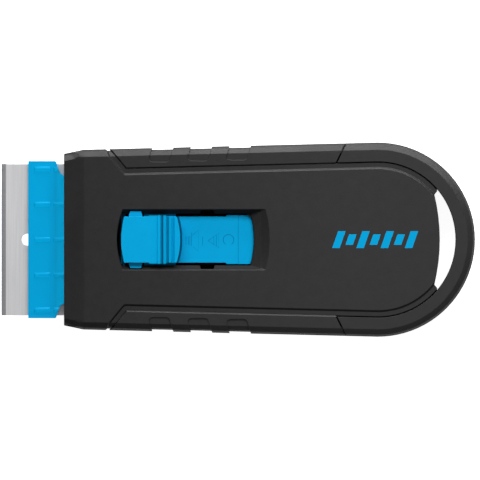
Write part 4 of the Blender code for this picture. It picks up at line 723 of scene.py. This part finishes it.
def deck_signs(material):
    """An arrow, a lock sign, an open ring and the crease line, in fine lines on the deck, whose
    darker blue is painted shade of engraved lines and of the crease.
    """
    low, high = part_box("slider_body")
    top = high.z

    def on_deck(along, aside):
        return (high.x - DECK_LENGTH + along * MM, aside * MM, top)

    def draw(name, points, width=SIGN_LINE):
        line_on(name, points, width, material, "carriage")

    draw("arrow_outline", [on_deck(*point) for point in ARROW_MM])
    draw("lock_outline", [on_deck(*point) for point in LOCK_MM])
    for index, (along, upper, lower) in enumerate(HATCH_MM):
        draw(f"sign_hatch_{index}", [on_deck(along, upper), on_deck(along, lower)])
    centre = Vector(on_deck(*RING_CENTRE_MM))
    sweep = 2 * math.pi - RING_OPENING
    ring = []
    for step in range(RING_STEPS + 1):
        turn = -math.pi / 2 + RING_OPENING / 2 + sweep * step / RING_STEPS
        reach = (RING_RADIUS * math.cos(turn), RING_RADIUS * math.sin(turn), 0.0)
        ring.append(centre + Vector(reach))
    draw("open_ring", ring, RING_LINE)
    crease = high.x - DECK_LENGTH + CREASE_SETBACK
    ends = [(crease, side * CREASE_SHARE, top) for side in (low.y, high.y)]
    draw("deck_crease", ends, CREASE_LINE)


def deck_lip(material):
    """The slider deck's lip, low in the gap behind the thumb button, in the darker sign blue as
    painted shade in the gap.
    """
    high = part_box("slider_body")[1]
    front = high.x - DECK_LENGTH - LIP_SETBACK
    points = []
    for step in range(LIP_STEPS + 1):
        share = 2 * step / LIP_STEPS - 1
        x, y = front - LIP_BULGE * share * share, LIP_HALF_LENGTH * share
        points.append((x, y, high.z - LIP_DROP))
    line_on("deck_lip", points, LIP_RADIUS, material, "carriage")


def rim_drop(inside):
    """How far the handle's rim lies below its flat face, at a distance inside the edge."""
    if inside >= RIM_WIDTH:
        return 0.0
    if inside >= RIM_ROUND:
        return RIM_FACET_DROP * (RIM_WIDTH - inside) / RIM_FACET
    reach = 1 - inside / RIM_ROUND
    return RIM_FACET_DROP + RIM_ROUND_DROP * (1 - math.sqrt(1 - reach * reach))


def side_at(x):
    """Half the handle's width between its shoulder and its tail."""
    share = (x - SHOULDER_X) / (TAIL_X - SHOULDER_X)
    return SHOULDER_HALF_WIDTH + share * (TAIL_RADIUS - SHOULDER_HALF_WIDTH)


def skin_facet(skin_top, top, slope_top):
    """The grade of the rim's facet on the nose skin, and how far inside the edge it starts.
    Where the shell's own rim stands high, the facet falls less or starts nearer the edge,
    so that it stays one even slope above the shell."""
    steepest = RIM_FACET_DROP / RIM_FACET
    rooms = []
    for share in FACET_LIMIT_SHARES:
        inside = RIM_ROUND * share
        solid = min(slope_top, top - rim_drop(inside))
        rooms.append((inside, skin_top - SKIN_PROUD - solid))
    grade = min(steepest, *(room / (RIM_WIDTH - inside) for inside, room in rooms))
    grade = max(grade, FACET_LEAST_SHARE * steepest)
    return grade, min(RIM_WIDTH, *(inside + room / grade for inside, room in rooms))


def nose_skin(name, material, lower):
    """The outer skin of the nose slope, on the upper shell or mirrored on the lower one."""
    low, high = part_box("upper_housing")
    front, top = low.x, high.z
    length = NOSE_LENGTH + NOSE_LEAD
    start = front + length
    stations = [front - SKIN_PROUD]
    for step in range(SKIN_STEPS + 1):
        stations.append(front + SKIN_EDGE + length * step / SKIN_STEPS)
    insides = [RIM_ROUND * share for share in ROUND_SHARES]
    insides += [RIM_ROUND + RIM_FACET * share for share in FACET_SHARES]
    round_start = RIM_ROUND * FACET_END_SHARE
    widening = (SHOULDER_HALF_WIDTH - NOSE_HALF_WIDTH) / NOSE_LENGTH
    work = bmesh.new()
    outer, inner = [], []
    for x in stations:
        ahead = max(start - x, 0.0)
        half = NOSE_HALF_WIDTH + widening * (x - front)
        slope_top = top - NOSE_DROP / NOSE_LENGTH * ahead
        skin_top = top + SKIN_PROUD - SKIN_DROP / length * ahead
        if x < front:
            skin_top -= SKIN_EDGE
        grade, facet_start = skin_facet(skin_top, top, slope_top)
        across = [(half - inside, inside) for inside in insides] + [(0.0, half)]
        across += [(inside - half, inside) for inside in reversed(insides)]
        outer.append([])
        inner.append([])
        for y, inside in across:
            solid = min(slope_top, top - rim_drop(inside))
            drop = grade * max(facet_start - max(inside, round_start), 0.0)
            drop += max(rim_drop(inside) - rim_drop(round_start), 0.0)
            heights = (max(skin_top - drop, solid + SKIN_PROUD), solid - SKIN_SUNK)
            for rows, height in zip((outer, inner), heights):
                rows[-1].append(work.verts.new((x, y, top - height if lower else height)))
    for rows in (outer, inner):
        for first, second in zip(rows, rows[1:]):
            bridge(work, first, second)
    for end in (0, -1):
        bridge(work, outer[end], inner[end])
        bridge(work, [row[end] for row in outer], [row[end] for row in inner])
    mesh = mesh_of(name, work)
    mesh.shade_smooth()
    mesh.set_sharp_from_angle(angle=SKIN_CREASE)
    return add_piece(name, mesh, material, "housing")


def seam_tongue(name, line_x, rake, thickness, side, material):
    """A thin wall low inside a leaning seam of the band, so that the seam shows dark."""
    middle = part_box("upper_housing")[1].z / 2
    work = bmesh.new()
    for up in (1, -1):
        rings = [[], []]
        for ring, shift in zip(rings, (-thickness / 2, thickness / 2)):
            for inside, height in TONGUE_MM:
                rise, inset = height * MM, inside * MM
                lean = SEAM_LEAN * (1 - rise / SEAM_REACH)
                x = line_x + rake * (BAND_WIDTH - inset) - lean + shift
                y = side * (side_at(x) - inset)
                ring.append(work.verts.new((x, y, middle + up * rise)))
        bridge_rings(work, rings)
    return add_piece(name, mesh_of(name, work), material, "housing")


def grip_edge(name, side, material):
    """The sloping edge that closes the joint between a grip and the channel beside it. It
    runs inward along the grip's slanted front, round the corner, and back to the bow."""
    slant = math.hypot(1.0, GRIP_RAKE)
    ahead, inward = -1.0 / slant, -GRIP_RAKE / slant
    corner_shift = GRIP_RAKE * (inward - 1.0) * slant + ahead
    outer_x = GRIP_FRONT + GRIP_RAKE * (BAND_WIDTH - EDGE_START)
    rear_x = BOW_FRONT - BOW_SEAM
    work = bmesh.new()
    rings = [[], [], []]
    for past, height in EDGE_SLOPE_MM:
        reach = past * MM
        places = [
            (outer_x + ahead * reach, EDGE_START + inward * reach),
            (GRIP_FRONT + corner_shift * reach, BAND_WIDTH + reach),
            (rear_x - BOW_RAKE * reach, BAND_WIDTH + reach),
        ]
        for ring, (x, inset) in zip(rings, places):
            ring.append(work.verts.new((x, side * (side_at(x) - inset), height * MM)))
    bridge_rings(work, rings)
    return add_piece(name, mesh_of(name, work), material, "housing")


def bending_spring(material):
    """The latch spring again, cut along its arms, in place of the imported spring."""
    mesh = nodes["latch_spring"].data.copy()
    mesh.name = "latch_arms"
    mesh.materials.clear()
    mesh.materials.append(material)
    for stored in ("custom_normal", "sharp_edge"):
        if stored in mesh.attributes:
            mesh.attributes.remove(mesh.attributes[stored])
    work = bmesh.new()
    work.from_mesh(mesh)
    bmesh.ops.remove_doubles(work, verts=work.verts, dist=WELD_DISTANCE)
    bmesh.ops.dissolve_limit(work, angle_limit=FLAT_ANGLE, verts=work.verts, edges=work.edges)
    for step in range(SPRING_CUTS):
        place = SPRING_END + (SPRING_ROOT - SPRING_END) * (step + 0.5) / SPRING_CUTS
        whole = [*work.verts, *work.edges, *work.faces]
        bmesh.ops.bisect_plane(work, geom=whole, plane_co=(place, 0, 0), plane_no=(1, 0, 0))
    work.to_mesh(mesh)
    work.free()
    mesh.shade_smooth()
    mesh.set_sharp_from_angle(angle=SPRING_CREASE)
    piece = add_object("latch_arms", mesh)
    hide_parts("latch_spring")
    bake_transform(piece)
    return piece


def area_lamp(name, place, size, power):
    """A soft rectangular lamp that faces the tool."""
    lamp = bpy.data.lights.new(name, "AREA")
    lamp.shape = "RECTANGLE"
    lamp.size, lamp.size_y = size
    lamp.energy = power
    thing = add_object(name, lamp)
    thing.location = place
    thing.rotation_euler = (-Vector(place)).to_track_quat("-Z", "Y").to_euler()


def backdrop_strength(tree, plain, white):
    """A strength for rays that see the background in white, and another for its plain light."""
    path = tree.nodes.new("ShaderNodeLightPath")
    seen = math_node(tree, "MAXIMUM", path.outputs["Is Camera Ray"], path.outputs["Is Glossy Ray"])
    seen = math_node(tree, "MAXIMUM", seen, path.outputs["Is Transmission Ray"])
    return spread(tree, seen, 0.0, 1.0, plain, white)


def floor_paper():
    """Pale matt paper that shows white and still takes a shadow."""
    made, shader = new_material("floor_paper")
    tree = made.node_tree
    shader.inputs["Base Color"].default_value = (*grey(FLOOR_GREY), 1)
    shader.inputs["Roughness"].default_value = FLOOR_ROUGHNESS
    shader.inputs["Specular IOR Level"].default_value = 0.0
    glow = tree.nodes.new("ShaderNodeEmission")
    both = tree.nodes.new("ShaderNodeAddShader")
    tree.links.new(backdrop_strength(tree, 0.0, FLOOR_GLOW), glow.inputs["Strength"])
    tree.links.new(shader.outputs["BSDF"], both.inputs[0])
    tree.links.new(glow.outputs["Emission"], both.inputs[1])
    tree.links.new(both.outputs["Shader"], tree.nodes["Material Output"].inputs["Surface"])
    return made


def studio():
    """World light, three lamps, and a pale floor that keeps the tool's shadow."""
    world = bpy.data.worlds.new("studio")
    world.use_nodes = True
    bpy.context.scene.world = world
    background = world.node_tree.nodes["Background"]
    background.inputs["Color"].default_value = (*grey(1.0), 1)
    background.inputs["Strength"].default_value = WORLD_LEVEL
    for name, lamp in LAMPS.items():
        area_lamp(name, *lamp)
    work = bmesh.new()
    bmesh.ops.create_grid(work, x_segments=1, y_segments=1, size=FLOOR_SIZE / 2)
    mesh = bpy.data.meshes.new("floor")
    work.to_mesh(mesh)
    work.free()
    mesh.materials.append(floor_paper())
    floor = add_object("floor", mesh)
    floor.location.z = -FLOOR_DROP


def camera():
    """A long lens straight above the tool, framed as in the photograph."""
    data = bpy.data.cameras.new("photo_camera")
    data.sensor_width = SENSOR_WIDTH
    data.lens = SENSOR_WIDTH * CAMERA_DISTANCE / FRAME_WIDTH
    data.clip_start = CAMERA_DISTANCE / 100
    data.clip_end = CAMERA_DISTANCE * 10
    thing = add_object("photo_camera", data)
    thing.location = (*FRAME_CENTRE, HANDLE_MIDDLE + CAMERA_DISTANCE)
    bpy.context.scene.camera = thing


bpy.context.scene.view_settings.view_transform = "Standard"
made_groups = (make_spark_grain(), make_handling(), make_drawn_lines())
groups = {group.name: group for group in made_groups}
finishes = dress_nodes(groups)
studio()
camera()
printed_bars(finishes["slider_blue"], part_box("upper_housing")[1].z)
deck_signs(finishes["sign_blue"])
deck_lip(finishes["sign_blue"])
nose_skin("nose_skin_upper", finishes["shell_black"], False)
nose_skin("nose_skin_lower", finishes["shell_black"], True)
for seam, place in TONGUES.items():
    for hand, side in HANDS:
        seam_tongue(f"{seam}_tongue_{hand}", *place, side, finishes["shell_black"])
for hand, side in HANDS:
    grip_edge(f"grip_edge_{hand}", side, finishes["shell_black"])
bending_spring(finishes["slider_blue"])
